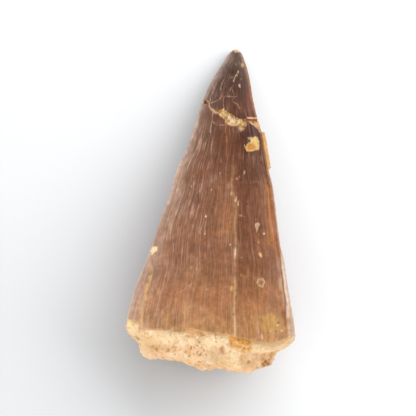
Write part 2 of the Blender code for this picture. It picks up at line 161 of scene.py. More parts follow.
# The drawing against the solid: the middle and the tip that the solid was drawn with, and how far up the
# surfaces are moved so that the knobs rest on the floor.
DRAWN_MIDDLE_X = 0.025
DRAWN_TIP_Y = 25.0
RAISED = 0.08

# How finely the surfaces are cut. The labial face is what the camera sees.
LABIAL_STEPS = 262
LINGUAL_STEPS = 118
CROWN_ROWS = 252
TIP_ROWS = 120
NOSE_ROWS = 10  # those of the tip's rows that round off its end
FILL_ROWS = 44
ROOT_ROWS = 150

# Camera. The scale holds at the view height.
PHOTO_SIDE = 416  # pixels
PIXEL = 0.155  # length on the tooth of one pixel of the photo
PHOTO_MIDDLE = (-0.3, 0.54)  # the drawing's x and y at the middle of the photo
VIEW_HEIGHT = 9.0
LENS = 900.0
SENSOR = 36.0

# Floor, lamp and room, in metres.
FLOOR_SIDE = 3.0
FLOOR_COLOUR = (0.42, 0.428, 0.438, 1)
LAMP_POWER = 4.3
LAMP_LENGTH = 0.7
LAMP_WIDTH = 0.33
LAMP_PLACE = (0.17, 0.15, 0.135)
LAMP_TARGET = (0.0, 0.0, 0.005)
ROOM_MEAN = 1.26
ROOM_SWING = 0.63  # how much brighter the room is on its bright side, and darker on the other
ROOM_BRIGHT_SIDE = (-0.7, -0.5, -0.5)

# The light that falls on the tooth in the photo, and the gloss over it, at shares across from the left.
ENAMEL_LIGHT = ((0.0, 1.06), (0.3, 1.03), (0.55, 0.94), (0.8, 0.88), (1.0, 0.86))
ENAMEL_GLOSS = ((0.0, 0.048), (0.15, 0.045), (0.3, 0.037), (0.6, 0.026), (0.85, 0.031), (1.0, 0.044))
STONE_LIGHT = ((0.0, 1.05), (0.5, 0.98), (1.0, 0.9))
STONE_GLOSS = ((0.0, 0.035), (1.0, 0.035))

# Colours as they look in the photo's light. own_colour takes the light out of them again.
ENAMEL_ALONG = (  # y and colour, from the tip to the root
    (24.5, (112, 88, 77)), (21, (96, 69, 60)), (15, (104, 68, 53)), (8, (126, 83, 62)),
    (2.5, (148, 101, 76)), (-3, (152, 104, 77)), (-9, (154, 105, 76)), (-14, (176, 121, 84)),
    (-19, (192, 140, 94)),
)
PAINTED_SHEEN = (216, 186, 166)
CREAM = (252, 224, 180)
PALE_YELLOW = (244, 210, 146)
BEIGE = (204, 166, 134)
SAND = (228, 184, 120)
DUST = (218, 184, 144)
LEDGE = (242, 188, 134)
ORANGE = (222, 162, 92)
RUST = (150, 80, 20)
PINK_GREY = (186, 152, 134)
DARK_RED = (98, 50, 38)
GOLD = (228, 182, 130)
WHITE = (255, 240, 222)
BROWN_PIT = (128, 80, 40)
BEYOND_FACET = (112, 64, 46)
WARM_EDGE = (186, 119, 70)
PALE_BAND_HIGHLIGHT = (222, 186, 158)
LEFT_RIM_SHEEN = (228, 204, 190)
RIGHT_RIM_HIGHLIGHT = (232, 190, 158)
PALE_FIBRE = (214, 176, 154)
SMUDGE = (206, 156, 108)
FACET_GOLD_HIGHLIGHT = (218, 168, 108)
RIDGE_HIGHLIGHT = (246, 216, 178)
CARINA_SHADE = (128, 66, 38)
HIGHLIGHT_STREAK = (253, 232, 208)
OLD_YELLOW = (206, 158, 94)
SLIVER = (246, 188, 122)
SLOPE = (238, 182, 126)
WORN_TIP = (244, 196, 142)
TIP_EDGE = (178, 126, 80)
BREAK_EDGE = (150, 104, 62)
FILLING = (230, 184, 122)
FILLING_HOLLOW_SHADE = (148, 98, 46)
DARK_CRUMB = (138, 88, 40)
PALE_CRUMB = (255, 234, 196)
LEDGE_SHADOW = (150, 92, 54)
NOTCH = (168, 92, 20)
STONE = (246, 210, 167)
PALE_STONE = (255, 233, 198)
TAN_STONE = (220, 168, 116)
BROWN_STONE = (206, 156, 110)
ORANGE_STAIN = (225, 163, 90)
STONE_EDGE = (222, 156, 90)
PITTED = (196, 138, 82)
PIT_FLOOR = (142, 92, 50)
STONE_HOLLOW_SHADE = (206, 154, 98)


# Curves, noise and colours.
def through(points, at):
    """The smooth curve through (place, value) points, read at one or many places."""
    places, values = np.array(sorted(points)).T
    slopes = np.gradient(values, places)
    at = np.clip(at, places[0], places[-1])
    i = np.clip(np.searchsorted(places, at) - 1, 0, len(places) - 2)
    span = places[i + 1] - places[i]
    t = (at - places[i]) / span
    ends = values[i] * (1 + 2 * t) * (1 - t) ** 2 + values[i + 1] * t * t * (3 - 2 * t)
    return ends + span * t * (1 - t) * (slopes[i] * (1 - t) - slopes[i + 1] * t)


def straight(points, at):
    """The straight-sided line through (place, value) points."""
    places, values = np.array(points).T
    return np.interp(at, places, values)


def eased(value, start, end):
    """0 at start and 1 at end, with a soft change between."""
    t = np.clip((value - start) / (end - start), 0, 1)
    return t * t * (3 - 2 * t)


def grain(points, size, seed):
    """Smooth noise from -1 to 1 at each point, with lumps of the given size."""
    cells = 64
    lattice = np.random.default_rng(seed).uniform(-1, 1, (cells, cells, cells))
    at = np.asarray(points) / size
    corner = np.floor(at).astype(int)
    t = at - corner
    t = t * t * (3 - 2 * t)
    total = np.zeros(at.shape[:-1])
    for step in itertools.product((0, 1), repeat=3):
        weight = np.prod(np.where(step, t, 1 - t), axis=-1)
        i, j, k = np.moveaxis((corner + step) % cells, -1, 0)
        total += weight * lattice[i, j, k]
    return total


def near(distance, width):
    """1 at no distance, falling off softly over the width."""
    return np.exp(-((distance / width) ** 2))


def linear(colour):
    """A screen colour, 0 to 255, as the linear colour that a shader uses."""
    share = np.array(colour) / 255
    return np.where(share < 0.04045, share / 12.92, ((share + 0.055) / 1.055) ** 2.4)


def laid_over(colours, others, mask):
    """The colours with other ones laid over them as strongly as the mask says."""
    mask = np.clip(mask, 0, 1)[..., None]
    return colours * (1 - mask) + others * mask


def tinted(colours, colour, mask):
    """The colours with a screen colour laid over them."""
    return laid_over(colours, linear(colour), mask)


# The form of the tooth.
def across(turn):
    """Place across for a turn round the section."""
    return np.where(turn < 1, 1 - 2 * turn, 2 * turn - 3)


def carinae(y):
    """The x of the left and of the right carina."""
    left = through(LEFT_EDGE, y) + np.maximum(through(LEFT_BULGE, y), 0)
    right = through(RIGHT_EDGE, y) - np.maximum(through(RIGHT_BULGE, y), 0)
    return left, right


def labial_height(place):
    """Share of the labial rise at a place across."""
    dome = 1 - np.abs(place) ** DOME_POWER
    return (1 - FACET_SHARE) * dome + FACET_SHARE * straight(FACETS, place)


def section(turn, y):
    """Points of the crown, without surface detail, as x and z for arrays of turn and y."""
    left, right = through(LEFT_EDGE, y), through(RIGHT_EDGE, y)
    low, high = through(LINGUAL_LINE, y), through(LABIAL_LINE, y)
    keel_z = low + (high - low) * through(KEEL_HEIGHT, y)
    bulges = np.maximum(through(LEFT_BULGE, y), 0), np.maximum(through(RIGHT_BULGE, y), 0)
    left_keel, right_keel = left + bulges[0], right - bulges[1]
    middle, outer, depth = (left + right) / 2, (right - left) / 2, keel_z - low

    place = across(turn)
    labial_x = left_keel + (right_keel - left_keel) * (place + 1) / 2
    labial_z = keel_z + (high - keel_z) * labial_height(place)

    # The lingual side swells out from the keel to the outline over a share of the depth, then rounds under.
    side = np.where(place < 0, -1.0, 1.0)
    bulge = np.where(place < 0, bulges[0], bulges[1])
    swell = 0.3 * bulge / (bulge + 0.5)
    swell_share = swell * depth / (swell * depth + 0.9 * (outer + depth))
    along = 1 - np.abs(place)
    rising = np.clip(along / np.maximum(swell_share, 1e-6), 0, 1)
    round_angle = np.clip((along - swell_share) / (1 - swell_share), 0, 1) * math.pi / 2
    in_swell = along < swell_share
    half = np.where(
        in_swell,
        outer - bulge * (1 - np.sin(rising * math.pi / 2)),
        outer * np.cos(round_angle) ** (2 / LINGUAL_POWER),
    )
    rounded = np.sin(round_angle) ** (2 / LINGUAL_POWER)
    down = np.where(in_swell, swell * rising, swell + (1 - swell) * rounded)
    x = np.where(turn < 1, labial_x, middle + side * half)
    z = np.where(turn < 1, labial_z, keel_z - depth * down)

    thinned, narrowed = (
        np.sqrt(1 - (1 - np.clip((TIP_Y - y) / reach, 0, 1)) ** 2) for reach in (NOSE, NOSE_ACROSS)
    )
    centre_z = (low + high) / 2
    return middle + (x - middle) * narrowed, centre_z + (z - centre_z) * thinned


def crown_rows(turn, y):
    """The turn of each point in rows at these y, and the points without surface detail."""
    turns = np.broadcast_to(turn, y.shape)
    x, z = section(turns, y)
    return turns, np.stack((x, y, z), axis=-1)


def by_place(line):
    """A line of places in plan as (place across, y), in order across."""
    made = []
    for x, y in line:
        left, right = carinae(y)
        made.append((2 * (x - left) / (right - left) - 1, y))
    return sorted(made)


def break_edges(turn):
    """The y of the break's upper and lower edge at each turn."""
    upper_line, lower_line = by_place(BREAK_UPPER), by_place(BREAK_LOWER)
    place = across(turn)
    back = ((-1, upper_line[0][1]), (1, upper_line[-1][1]))
    upper = np.where(turn < 1, straight(upper_line, place), straight(back, place))
    gap = np.where(turn < 1, 0, BREAK_BACK_WIDTH)
    back_lower = ((-1, lower_line[0][1]), (1, lower_line[-1][1]))
    lower = np.where(turn < 1, straight(lower_line, place), straight(back_lower, place) - gap)
    jagged = np.stack((place * 6, 0 * place, 0 * place), axis=-1)
    jagged_part = eased(place, 0.62, 0.5) * (turn < 1)
    upper = upper + jagged_part * (0.09 * grain(jagged, 0.3, 3) + 0.07 * grain(jagged, 0.12, 4))
    lower = lower + jagged_part * (0.09 * grain(jagged, 0.3, 5) + 0.07 * grain(jagged, 0.12, 6))
    return upper, np.minimum(lower, upper - 0.03)


def enamel_edge(turn):
    """The y of the enamel's lower edge at each turn."""
    labial = straight(by_place(ENAMEL_EDGE_LABIAL), across(turn))
    return np.where(turn < 1, labial, straight(ENAMEL_EDGE_LINGUAL, turn))


def root_ring(turn, share):
    """Points of the root, without surface detail, at a share of the way from its end to the enamel."""
    edge = enamel_edge(turn)
    x, z = section(turn, edge)
    from_x, from_z = x - ROOT_CENTRE[0], z - ROOT_CENTRE[1]
    for _ in range(4):
        end = through(ROOT_END, x)
        rise = share * (edge - end)
        x = ROOT_CENTRE[0] + from_x * straight(ROOT_SHRINK_ACROSS, rise)
    shrink_z = np.where(from_z > 0, straight(ROOT_SHRINK_UP, rise), straight(ROOT_SHRINK_ACROSS, rise))
    return np.stack((x, end + rise, ROOT_CENTRE[1] + from_z * shrink_z), axis=-1)


def outward(rows):
    """Unit vectors out of the surface at every point of the rows."""
    round_ring = np.roll(rows, -1, axis=1) - np.roll(rows, 1, axis=1)
    along = np.gradient(rows, axis=0)
    normals = np.cross(round_ring, along)
    return normals / np.maximum(np.linalg.norm(normals, axis=-1, keepdims=True), 1e-9)


def lumps(points, places):
    """Height at each point of round lumps in plan: x, y, radius and height."""
    x, y = points[..., 0], points[..., 1]
    total = np.zeros(x.shape)
    for lump_x, lump_y, radius, height in places:
        total += height * near(np.hypot(x - lump_x, y - lump_y), radius)
    return total


def knobs(points):
    """How far the two knobs under the root reach down at each point."""
    return lumps(points, ROOT_KNOBS) * (points[..., 2] < ROOT_CENTRE[1] / 2)


# Marks in plan.
def from_line(points, line):
    """Distance in plan of each point from a line through several places."""
    nearest = np.full(points.shape[:-1], np.inf)
    for start, end in zip(line, line[1:]):
        along = np.subtract(end, start)
        offset = points[..., :2] - start
        share = np.clip(offset @ along / (along @ along), 0, 1)
        nearest = np.minimum(nearest, np.linalg.norm(offset - share[..., None] * along, axis=-1))
    return nearest


def inside(points, outline):
    """How far in plan each point lies inside an outline. It is negative outside."""
    x, y = points[..., 0], points[..., 1]
    within = np.zeros(x.shape, bool)
    for (x1, y1), (x2, y2) in zip(outline, outline[1:] + outline[:1]):
        if y1 != y2:
            within ^= ((y1 > y) != (y2 > y)) & (x < x1 + (y - y1) * (x2 - x1) / (y2 - y1))
    away = from_line(points, outline + outline[:1])
    return np.where(within, away, -away)


def wandering(points, amount, size, seed):
    """The points moved a little in plan, so that lines measured from them aren't drawn with a ruler."""
    moved = points.copy()
    moved[..., 0] += amount * grain(points, size, seed)
    moved[..., 1] += amount * grain(points, size, seed + 50)
    return moved


# Cracks in the enamel: half width, depth, strength, colour and the places in plan that they run through.
CRACKS = (
    (0.08, 0.03, 0.65, PINK_GREY,
     ((2.45, 21.1), (2.19, 20.55), (1.83, 19.93), (1.71, 19.13), (1.74, 18.14))),
    (0.1, 0.04, 0.95, BEIGE, ((1.78, 17.86), (1.38, 17.41), (0.85, 17.13), (0.33, 16.86))),
    (0.1, 0.04, 0.5, SAND, ((1.78, 17.86), (1.47, 17.5))),
    (0.08, 0.03, 0.7, PINK_GREY, ((1.78, 17.86), (2.99, 17.84), (4.11, 17.78))),
    (0.09, 0.04, 0.75, PINK_GREY,
     ((0.5, 19.45), (0.37, 18.43), (0.05, 17.79), (-0.03, 17.13), (0, 16.37))),
    (0.13, 0.06, 0.95, BEIGE, ((-0.46, 17.16), (-0.15, 16.89), (0, 16.37), (0.37, 15.89), (0.85, 15.52))),
    (0.12, 0.06, 0.9, SAND, ((0.46, 15.81), (0.85, 15.52), (1.47, 15.24))),
    (0.08, 0.03, 0.65, PINK_GREY, ((2.23, 17.79), (1.97, 16.91), (2.19, 16.04))),
    (0.08, 0.03, 0.6, PINK_GREY,
     ((3.55, 18.99), (3.7, 17.89), (3.61, 17.08), (4.32, 16.55), (4.59, 15.93))),
    (0.09, 0.04, 0.9, (218, 190, 152), ((4.46, 21.86), (4.06, 21.17), (3.78, 20.74), (3.66, 20.23))),
    (0.07, 0.04, 0.55, BEIGE, ((3.66, 20.23), (3.66, 19.58), (3.25, 19.05), (3.12, 18.68))),
    (0.1, 0.04, 0.65, BEIGE, ((0.5, 15.42), (0.33, 14.34), (0.17, 13.41), (0.14, 12.01))),
    (0.08, 0.03, 0.35, BEIGE, ((0.14, 12.01), (0.23, 9.53), (0.17, 7.36))),
    (0.09, 0.04, 0.6, (214, 152, 104), ((2.45, 13.56), (2.43, 12.63), (2.56, 10.77))),
    (0.08, 0.03, 0.25, BEIGE, ((2.56, 10.77), (2.5, 8.29), (2.28, 5.5))),
    (0.09, 0.03, 0.75, PINK_GREY, ((0.46, 13.93), (1.02, 13.48), (1.66, 13.35), (2.31, 13.53))),
    (0.22, 0.01, 0.15, PINK_GREY, ((4.57, 4.48), (6.12, 4.67), (8.14, 4.57))),
    (0.08, 0.03, 0.7, BEIGE,
     ((-0.64, -0.23), (-1.01, -1.01), (-1.13, -1.78), (-1.47, -2.71), (-1.53, -3.33))),
    (0.08, 0.03, 0.4, BEIGE, ((-0.6, -1.63), (-0.85, -2.4), (-0.79, -3.49))),
    (0.1, 0.02, 0.4, DARK_RED, ((-2.99, -10.88), (-4.06, -11.59), (-5.49, -12.65))),
    (0.1, 0.02, 0.3, BEIGE, ((-2.79, -11.08), (-3.95, -11.95), (-5.35, -12.94))),
    (0.12, 0.02, 0.3, DARK_RED, ((-5.44, -18.52), (-5.5, -17.75), (-5.25, -16.51))),
    (0.1, 0.02, 0.35, BEIGE, ((-3.8, -18.37), (-4.01, -16.51), (-3.64, -14.65), (-3.33, -13.25))),
)

# The edge between two labial facets: a pale line of painted highlight, and how strong it is at each y, then
# how strong a golden painted highlight beside it is.
FACET_LINE = (
    (3.63, 8.29), (3.58, 6.74), (3.24, 4.26), (3.77, 1.63), (3.94, 0.08), (3.89, -2.25), (3.94, -4.42),
    (3.83, -6.28), (3.86, -10.93), (3.77, -12.01), (3.78, -14.8), (3.74, -16.35), (3.77, -19.14),
)
FACET_LINE_STRENGTH = (
    (-19.2, 0.4), (-16.6, 0.8), (-15.9, 0.1), (-15, 0.3), (-12.9, 0.2), (-12.2, 0.25), (-11, 0.25),
    (-10.6, 0.15), (-7.6, 0.12), (-7, 0.85), (-5.9, 0.85), (-5.5, 0.15), (-1.5, 0.12), (0, 0.05), (4, 0),
    (8, 0),
)
FACET_GOLD_STRENGTH = (
    (-16, 0), (-14.8, 0.35), (-12.6, 0.7), (-11.2, 0.6), (-10, 0.2), (-5, 0.16), (0, 0.22), (6, 0.26),
    (8.5, 0),
)
LEFT_CARINA_LINE = (
    (-8.82, -7.83), (-9.32, -10.52), (-9.75, -12.48), (-10.26, -14.26), (-10.62, -16.4), (-10.74, -18.37),
)
LEFT_CARINA_STRENGTH = ((-18.5, 0.9), (-15.0, 0.85), (-10.0, 0.75), (-8.5, 0.35), (-7.0, 0.0))
RIGHT_CARINA_LINE = ((10.71, -5.97), (10.93, -8.45), (11.3, -11.7), (11.58, -14.43), (11.67, -17.75))
RIGHT_CARINA_STRENGTH = ((-18.0, 0.5), (-12.0, 0.9), (-8.0, 0.8), (-6.0, 0.0))
# A white streak of painted highlight inside the right outline, and how strong it is at each y.
RIGHT_STREAK = ((10.87, -5.97), (11.14, -8.45), (11.52, -11.24), (11.8, -14.18), (11.95, -16.51))
RIGHT_STREAK_STRENGTH = ((-17.5, 0.15), (-14.5, 0.7), (-9.5, 1.0), (-7.0, 0.8), (-5.5, 0.0))

# How fast the painted highlights on the right retreat towards the root, in mm for each turn past the
# carina.
BAND_RETREAT = 45
STREAK_RETREAT = 40

# Painted sheen, a pale haze that stands in for reflection: strength, and reach as a share of the way across
# from the left.
SHEEN_HAZES = ((0.34, 0.08), (0.16, 0.2))
# Painted sheen laid evenly over the lingual side.
LINGUAL_SHEEN = 0.16

# Fine fibres: how many to a turn, their length, strength and seed.
FIBRES = ((70, 2.6, 1.0, 23), (110, 1.4, 0.7, 24))

# Where enamel has flaked off. FLAKES has each outline with its depth and colour.
CHIP = (
    (5.24, 10.43), (5.7, 9.3), (7.61, 9.63), (7.77, 10.37), (7.46, 11.55), (7.18, 11.67), (6.63, 11.56),
    (5.87, 11.45), (6.4, 11.01), (5.94, 10.56), (5.58, 10.21),
)
CHIP_FLOOR = ((6.5, 10.05, 0.7, 0.5, 1.9, (222, 152, 76)), (6.8, 10.75, 0.4, 0.55, 0.5, (226, 176, 104)))
LEFT_FLAKE = (
    (-9.16, -6.28), (-8.97, -5.56), (-8.54, -5.29), (-8.08, -5.5), (-8.11, -6.06), (-8.6, -6.43),
    (-8.94, -6.8),
)
RIGHT_FLAKE = (
    (6.96, -2), (7.36, -1.72), (7.83, -1.84), (7.73, -2.22), (7.36, -2.65), (7.24, -3.12), (7.08, -2.56),
)
FLAKES = ((CHIP, 0.3, PALE_YELLOW), (LEFT_FLAKE, 0.2, CREAM), (RIGHT_FLAKE, 0.1, BEIGE))

# Small marks: x, y, half width, half length, strength and colour.
SPECKS = (
    (5.08, 22.8, 0.28, 0.34, 0.9, (206, 168, 112)), (4.05, 22.88, 0.2, 0.27, 0.5, (150, 132, 116)),
    (4.46, 21.64, 0.12, 0.2, 0.7, (220, 190, 150)), (4.15, 21.2, 0.14, 0.18, 0.8, (224, 196, 156)),
    (3.41, 20.86, 0.2, 0.12, 0.5, PINK_GREY), (2.36, 22.03, 0.12, 0.3, 0.5, PINK_GREY),
    (4.62, 19.55, 0.16, 0.27, 0.95, (226, 196, 172)), (4.88, 20.54, 0.12, 0.15, 0.4, PINK_GREY),
    (3.56, 21.47, 0.1, 0.25, 0.5, (60, 44, 36)), (4.34, 20.46, 0.12, 0.2, 0.5, (66, 46, 40)),
    (5.29, 6.06, 0.14, 0.3, 0.8, (214, 180, 160)), (4.2, 5.07, 0.26, 0.2, 0.65, DUST),
    (4.11, 5.97, 0.2, 0.35, 0.5, (130, 104, 66)), (4.57, 5.42, 0.12, 0.2, 0.6, BEIGE),
    (3.98, 1.88, 0.14, 0.55, 0.75, DUST), (4.39, 1.26, 0.14, 0.45, 0.7, DUST),
    (3.27, 2.77, 0.14, 0.3, 0.5, DUST), (2.93, 3.95, 0.25, 0.5, 0.3, DUST),
    (4.76, -0.65, 0.3, 0.14, 0.6, BEIGE), (5.29, -0.79, 0.16, 0.12, 0.6, BEIGE),
    (0.25, 3.36, 0.16, 0.2, 0.8, (214, 160, 120)), (-1.61, 3.21, 0.14, 0.45, 0.7, (206, 160, 132)),
    (-2.87, 3.91, 0.12, 0.22, 0.6, DUST), (-2.53, 5.5, 0.1, 0.22, 0.6, BEIGE),
    (-0.65, -0.76, 0.13, 0.2, 0.9, CREAM), (-0.79, -3.43, 0.1, 0.16, 0.9, CREAM),
    (1.57, 5.87, 0.1, 0.25, 0.5, BEIGE), (1.69, 7.98, 0.1, 0.4, 0.4, BEIGE),
    (8.91, 4.45, 0.18, 0.25, 0.8, DARK_RED), (5.78, 1.07, 0.17, 0.17, 0.7, DARK_RED),
    (7.92, 7.52, 0.16, 0.2, 0.7, DARK_RED), (8.4, -3.43, 0.13, 0.1, 0.95, WHITE),
    (3.07, -5.04, 0.14, 0.16, 0.85, CREAM), (3.83, -6.34, 0.1, 0.5, 0.9, CREAM),
    (7.5, -4.82, 0.14, 0.25, 0.6, BEIGE), (7.77, -6.59, 0.26, 0.3, 0.6, DUST),
    (7.86, -6.82, 0.12, 0.3, 0.8, PALE_YELLOW), (4.84, -7.05, 0.13, 0.12, 0.6, BEIGE),
    (4.84, -9.84, 0.25, 0.3, 0.45, ORANGE), (3.33, -11.94, 0.3, 0.45, 0.7, (226, 172, 100)),
    (-0.5, -11.95, 0.16, 0.25, 0.55, DUST), (-2.93, -8.66, 0.15, 0.2, 0.5, BEIGE),
    (-2.12, -8.82, 0.14, 0.22, 0.6, DUST), (3.6, -15.93, 0.17, 0.14, 0.8, BROWN_PIT),
    (10.45, -17.56, 0.17, 0.15, 1, WHITE), (9.38, -18.45, 0.14, 0.13, 0.9, CREAM),
    (11.07, -18.43, 0.15, 0.14, 0.9, CREAM), (10.65, -17.11, 0.17, 0.22, 0.7, BROWN_PIT),
    (10.21, -18.52, 0.2, 0.25, 0.5, BROWN_PIT), (8.08, -19.39, 0.12, 0.4, 0.8, (240, 200, 176)),
    (6.99, -19.61, 0.1, 0.35, 0.5, (226, 186, 160)), (11.08, -19.38, 0.3, 0.2, 0.5, (170, 104, 66)),
)
RING = (
    (7.27, -11.02), (7.55, -10.4), (8.08, -10.37), (8.45, -10.99), (8.08, -11.55), (7.52, -11.39),
    (7.27, -11.02),
)
YELLOW_PATCH = (
    (8.08, -16.6), (8.6, -15.95), (9.84, -15.73), (10.87, -16.29), (11.24, -17.44), (10.87, -18.58),
    (9.38, -18.62), (8.29, -18.21),
)

# Chipped enamel that slopes away under the break on the right.
BEVEL_DEPTH = 0.12
BEVEL = (
    (5.92, 14.24), (7.15, 14.21), (7.77, 13.66), (7.98, 12.94), (8.11, 12.17), (7.77, 12.17), (7.46, 12.79),
    (6.84, 13.35), (6.22, 13.72),
)

# Broad tints in plan: x, y, half sizes across and along, strength and colour.
TINTS = (
    (6.51, 16.66, 0.8, 2.2, 0.9, (134, 66, 38)), (4.73, 15.42, 1.6, 1.2, 0.45, (122, 74, 56)),
    (3.64, 21.78, 1, 1.5, 0.55, (90, 70, 60)), (2.4, 16.66, 1.6, 1.2, 0.4, (124, 80, 62)),
    (1.01, 18.37, 1.2, 2, 0.4, (116, 92, 80)), (3.02, 23.95, 0.8, 0.9, 0.3, (132, 110, 98)),
    (6.2, 10.9, 1.8, 2.8, 0.8, (90, 54, 40)), (3.18, 10.15, 1.2, 3.4, 0.45, (128, 76, 54)),
    (6.43, 6.43, 2.3, 2.8, 0.55, (106, 66, 54)), (6.59, 1.78, 2.3, 3.2, 0.5, (122, 76, 60)),
    (1.47, 13.87, 1, 0.9, 0.5, (134, 84, 62)), (3.33, 12.63, 1, 0.6, 0.4, (132, 78, 54)),
    (2.71, -2.25, 1.2, 3.6, 0.55, (170, 114, 74)), (2.71, 3.33, 0.8, 1.5, 0.4, (158, 108, 78)),
    (6.59, -3.49, 2.2, 3, 0.5, (132, 86, 66)), (8.29, -7.83, 2, 2.6, 0.4, (140, 88, 64)),
    (-1.63, -5.5, 2.6, 1.8, 0.5, (138, 92, 70)), (2.4, -7.83, 1.2, 2.4, 0.35, (146, 98, 74)),
    (-2.87, -9.07, 1.8, 1.2, 0.45, (168, 120, 86)), (-7.05, -7.83, 1.6, 2.2, 0.3, (170, 124, 92)),
    (-6.9, -13.1, 1.8, 1.6, 0.4, (158, 104, 72)), (-0.85, -13.72, 3.2, 2, 0.35, (176, 118, 86)),
    (7.36, -13.72, 2.2, 2.2, 0.4, (164, 112, 76)), (5.66, -16.51, 1.4, 1.6, 0.4, (184, 132, 88)),
    (-6.59, -16.82, 0.7, 1.4, 0.6, (208, 156, 100)), (-8.45, -16.82, 1, 1.4, 0.5, (152, 106, 72)),
    (-0.7, -16.82, 0.9, 1.5, 0.55, (204, 152, 98)), (-3.49, -15.58, 0.7, 1.6, 0.4, (200, 148, 98)),
    (-4.88, -17.13, 0.8, 1.4, 0.35, (170, 120, 84)), (1.78, -18.06, 1, 0.9, 0.4, (204, 154, 106)),
    (7.05, -18.99, 1.6, 0.8, 0.35, (170, 118, 88)), (3.02, -17.13, 0.7, 1.2, 0.4, (172, 118, 80)),
    (-0.9, 13.4, 1.2, 1.8, 0.35, (156, 122, 104)), (-10.9, -13, 0.6, 2.4, 0.5, (214, 172, 142)),
    (6.4, -17.2, 1.8, 1.4, 0.5, (192, 138, 90)), (-2.9, 2.8, 2, 3, 0.8, (118, 76, 56)),
    (-5.4, -5.9, 1.9, 2.4, 0.6, (138, 90, 63)),
)


def paint_blobs(colours, points, blobs, mask=1.0):
    """The colours with soft round patches laid over them: x, y, half sizes, strength and colour each."""
    for x, y, half_x, half_y, strength, colour in blobs:
        away = ((points[..., 0] - x) / half_x) ** 2 + ((points[..., 1] - y) / half_y) ** 2
        colours = tinted(colours, colour, strength * np.exp(-away) * mask)
    return colours


def outline_shares(points):
    """Distance from the left and from the right outline, and the share of the way across from the left."""
    x, y = points[..., 0], points[..., 1]
    left, right = through(LEFT_EDGE, y), through(RIGHT_EDGE, y)
    return x - left, right - x, np.clip((x - left) / (right - left), 0, 1)


def own_colour(points, seen, light_across, gloss_across):
    """The surface's own colour where it looks like this in the photo's light."""
    _, _, share = outline_shares(points)
    light, gloss = straight(light_across, share)[..., None], straight(gloss_across, share)[..., None]
    colours = np.maximum((seen - gloss) / light, 0.004)
    brightest = np.max(colours, axis=-1, keepdims=True)
    return colours * np.minimum(1, 0.95 / brightest)


def paint_enamel(points, colours, seen, mask):
    """Enamel's own colours with another one laid over them, given as it looks in the photo's light."""
    return laid_over(colours, own_colour(points, linear(seen), ENAMEL_LIGHT, ENAMEL_GLOSS), mask)


def along_line(points, line, half_width, strengths):
    """A soft mask along a line in plan, as strong as (y, strength) says."""
    return near(from_line(points, line), half_width) * straight(strengths, points[..., 1])


def enamel_base(points, turn, above, past_keel):
    """The enamel's look at each point, before its cracks and chips."""
    y = points[..., 1]
    places, steps = zip(*sorted((place, tuple(linear(colour))) for place, colour in ENAMEL_ALONG))
    colours = np.stack([np.interp(y, places, channel) for channel in zip(*steps)], axis=-1)
    drifting = wandering(points, 0.5, 1.6, 11)
    colours = paint_blobs(colours, drifting, TINTS, above)

    # Beyond the facet edge it is darker and redder.
    facet_x = np.interp(y, *zip(*[(line_y, line_x) for line_x, line_y in reversed(FACET_LINE)]))
    past_facet = drifting[..., 0] - facet_x
    beyond = eased(past_facet, -0.2, 0.3) * eased(past_facet, 4.5, 1.5)
    beyond = beyond * eased(y, 12, 6) * eased(y, -17, -11) * above
    colours = tinted(colours, BEYOND_FACET, 0.28 * beyond)

    # The left side looks hazy with painted sheen. The right one is warm, with a painted highlight along its
    # outline.
    _, from_right, share = outline_shares(drifting)
    sheen = sum(strength * near(share, reach) for strength, reach in SHEEN_HAZES)
    sheen = sheen * (1 - 0.5 * eased(y, 6, 13))
    colours = tinted(colours, PAINTED_SHEEN, np.maximum(sheen * above, LINGUAL_SHEEN * (1 - above)))
    warm = near(from_right - 0.8, 0.7) * eased(y, 6.0, 3.0) * eased(y, -9.0, -5.0)
    colours = tinted(colours, WARM_EDGE, 0.78 * warm * above)
    # A pale band of painted highlight on the lower right, where the face past the carina catches the light.
    band_y = y + BAND_RETREAT * past_keel + 1.2 * grain(points, 1.6, 36)
    highlight_band = eased(from_right, 1.5, 0.9) * eased(band_y, -5.0, -9.5)
    highlight_band = highlight_band * (1 - 0.5 * eased(past_keel, 0.02, 0.09))
    colours = tinted(colours, PALE_BAND_HIGHLIGHT, 0.68 * highlight_band * above)
    # Thin painted sheen along the left outline, and a painted highlight along the right one.
    from_left, from_right, _ = outline_shares(points)
    colours = tinted(colours, LEFT_RIM_SHEEN, 0.42 * near(from_left, 0.25) * above)
    colours = tinted(colours, RIGHT_RIM_HIGHLIGHT, 0.55 * near(from_right, 0.2) * above)

    # Fine fibres, palest on the left.
    pale_side = 0.15 + 0.45 * eased(share, 0.55, 0.1)
    for fibres_round, length, strength, seed in FIBRES:
        fibre_turn = turn * fibres_round + 0.5 * grain(points, 1.5, seed + 5)
        at = np.stack((fibre_turn, y / length, 0 * y), axis=-1)
        fibres = eased(grain(at, 1, seed), 0.25, 0.75) * eased(grain(points, 1.8, seed + 9), -0.5, 0.4)
        fibres = fibres * (1 - 0.35 * eased(y, -2, -8))
        colours = tinted(colours, PALE_FIBRE, strength * pale_side * fibres)
        colours = colours * (1 - 0.13 * strength * eased(grain(at, 1, seed + 2), 0.3, 0.8)[..., None])

    smudged = eased(grain(points * (1.6, 0.5, 1.6), 1.2, 34), 0.15, 0.6) * eased(y, -8, -13)
    colours = tinted(colours, SMUDGE, 0.42 * smudged * eased(grain(points, 0.5, 35), -0.6, 0.3))
    mottle = 0.45 * grain(points, 2.4, 31) + 0.4 * grain(points, 1.0, 32) + 0.55 * grain(points, 0.4, 33)
    return colours * (1 + 0.22 * mottle[..., None])


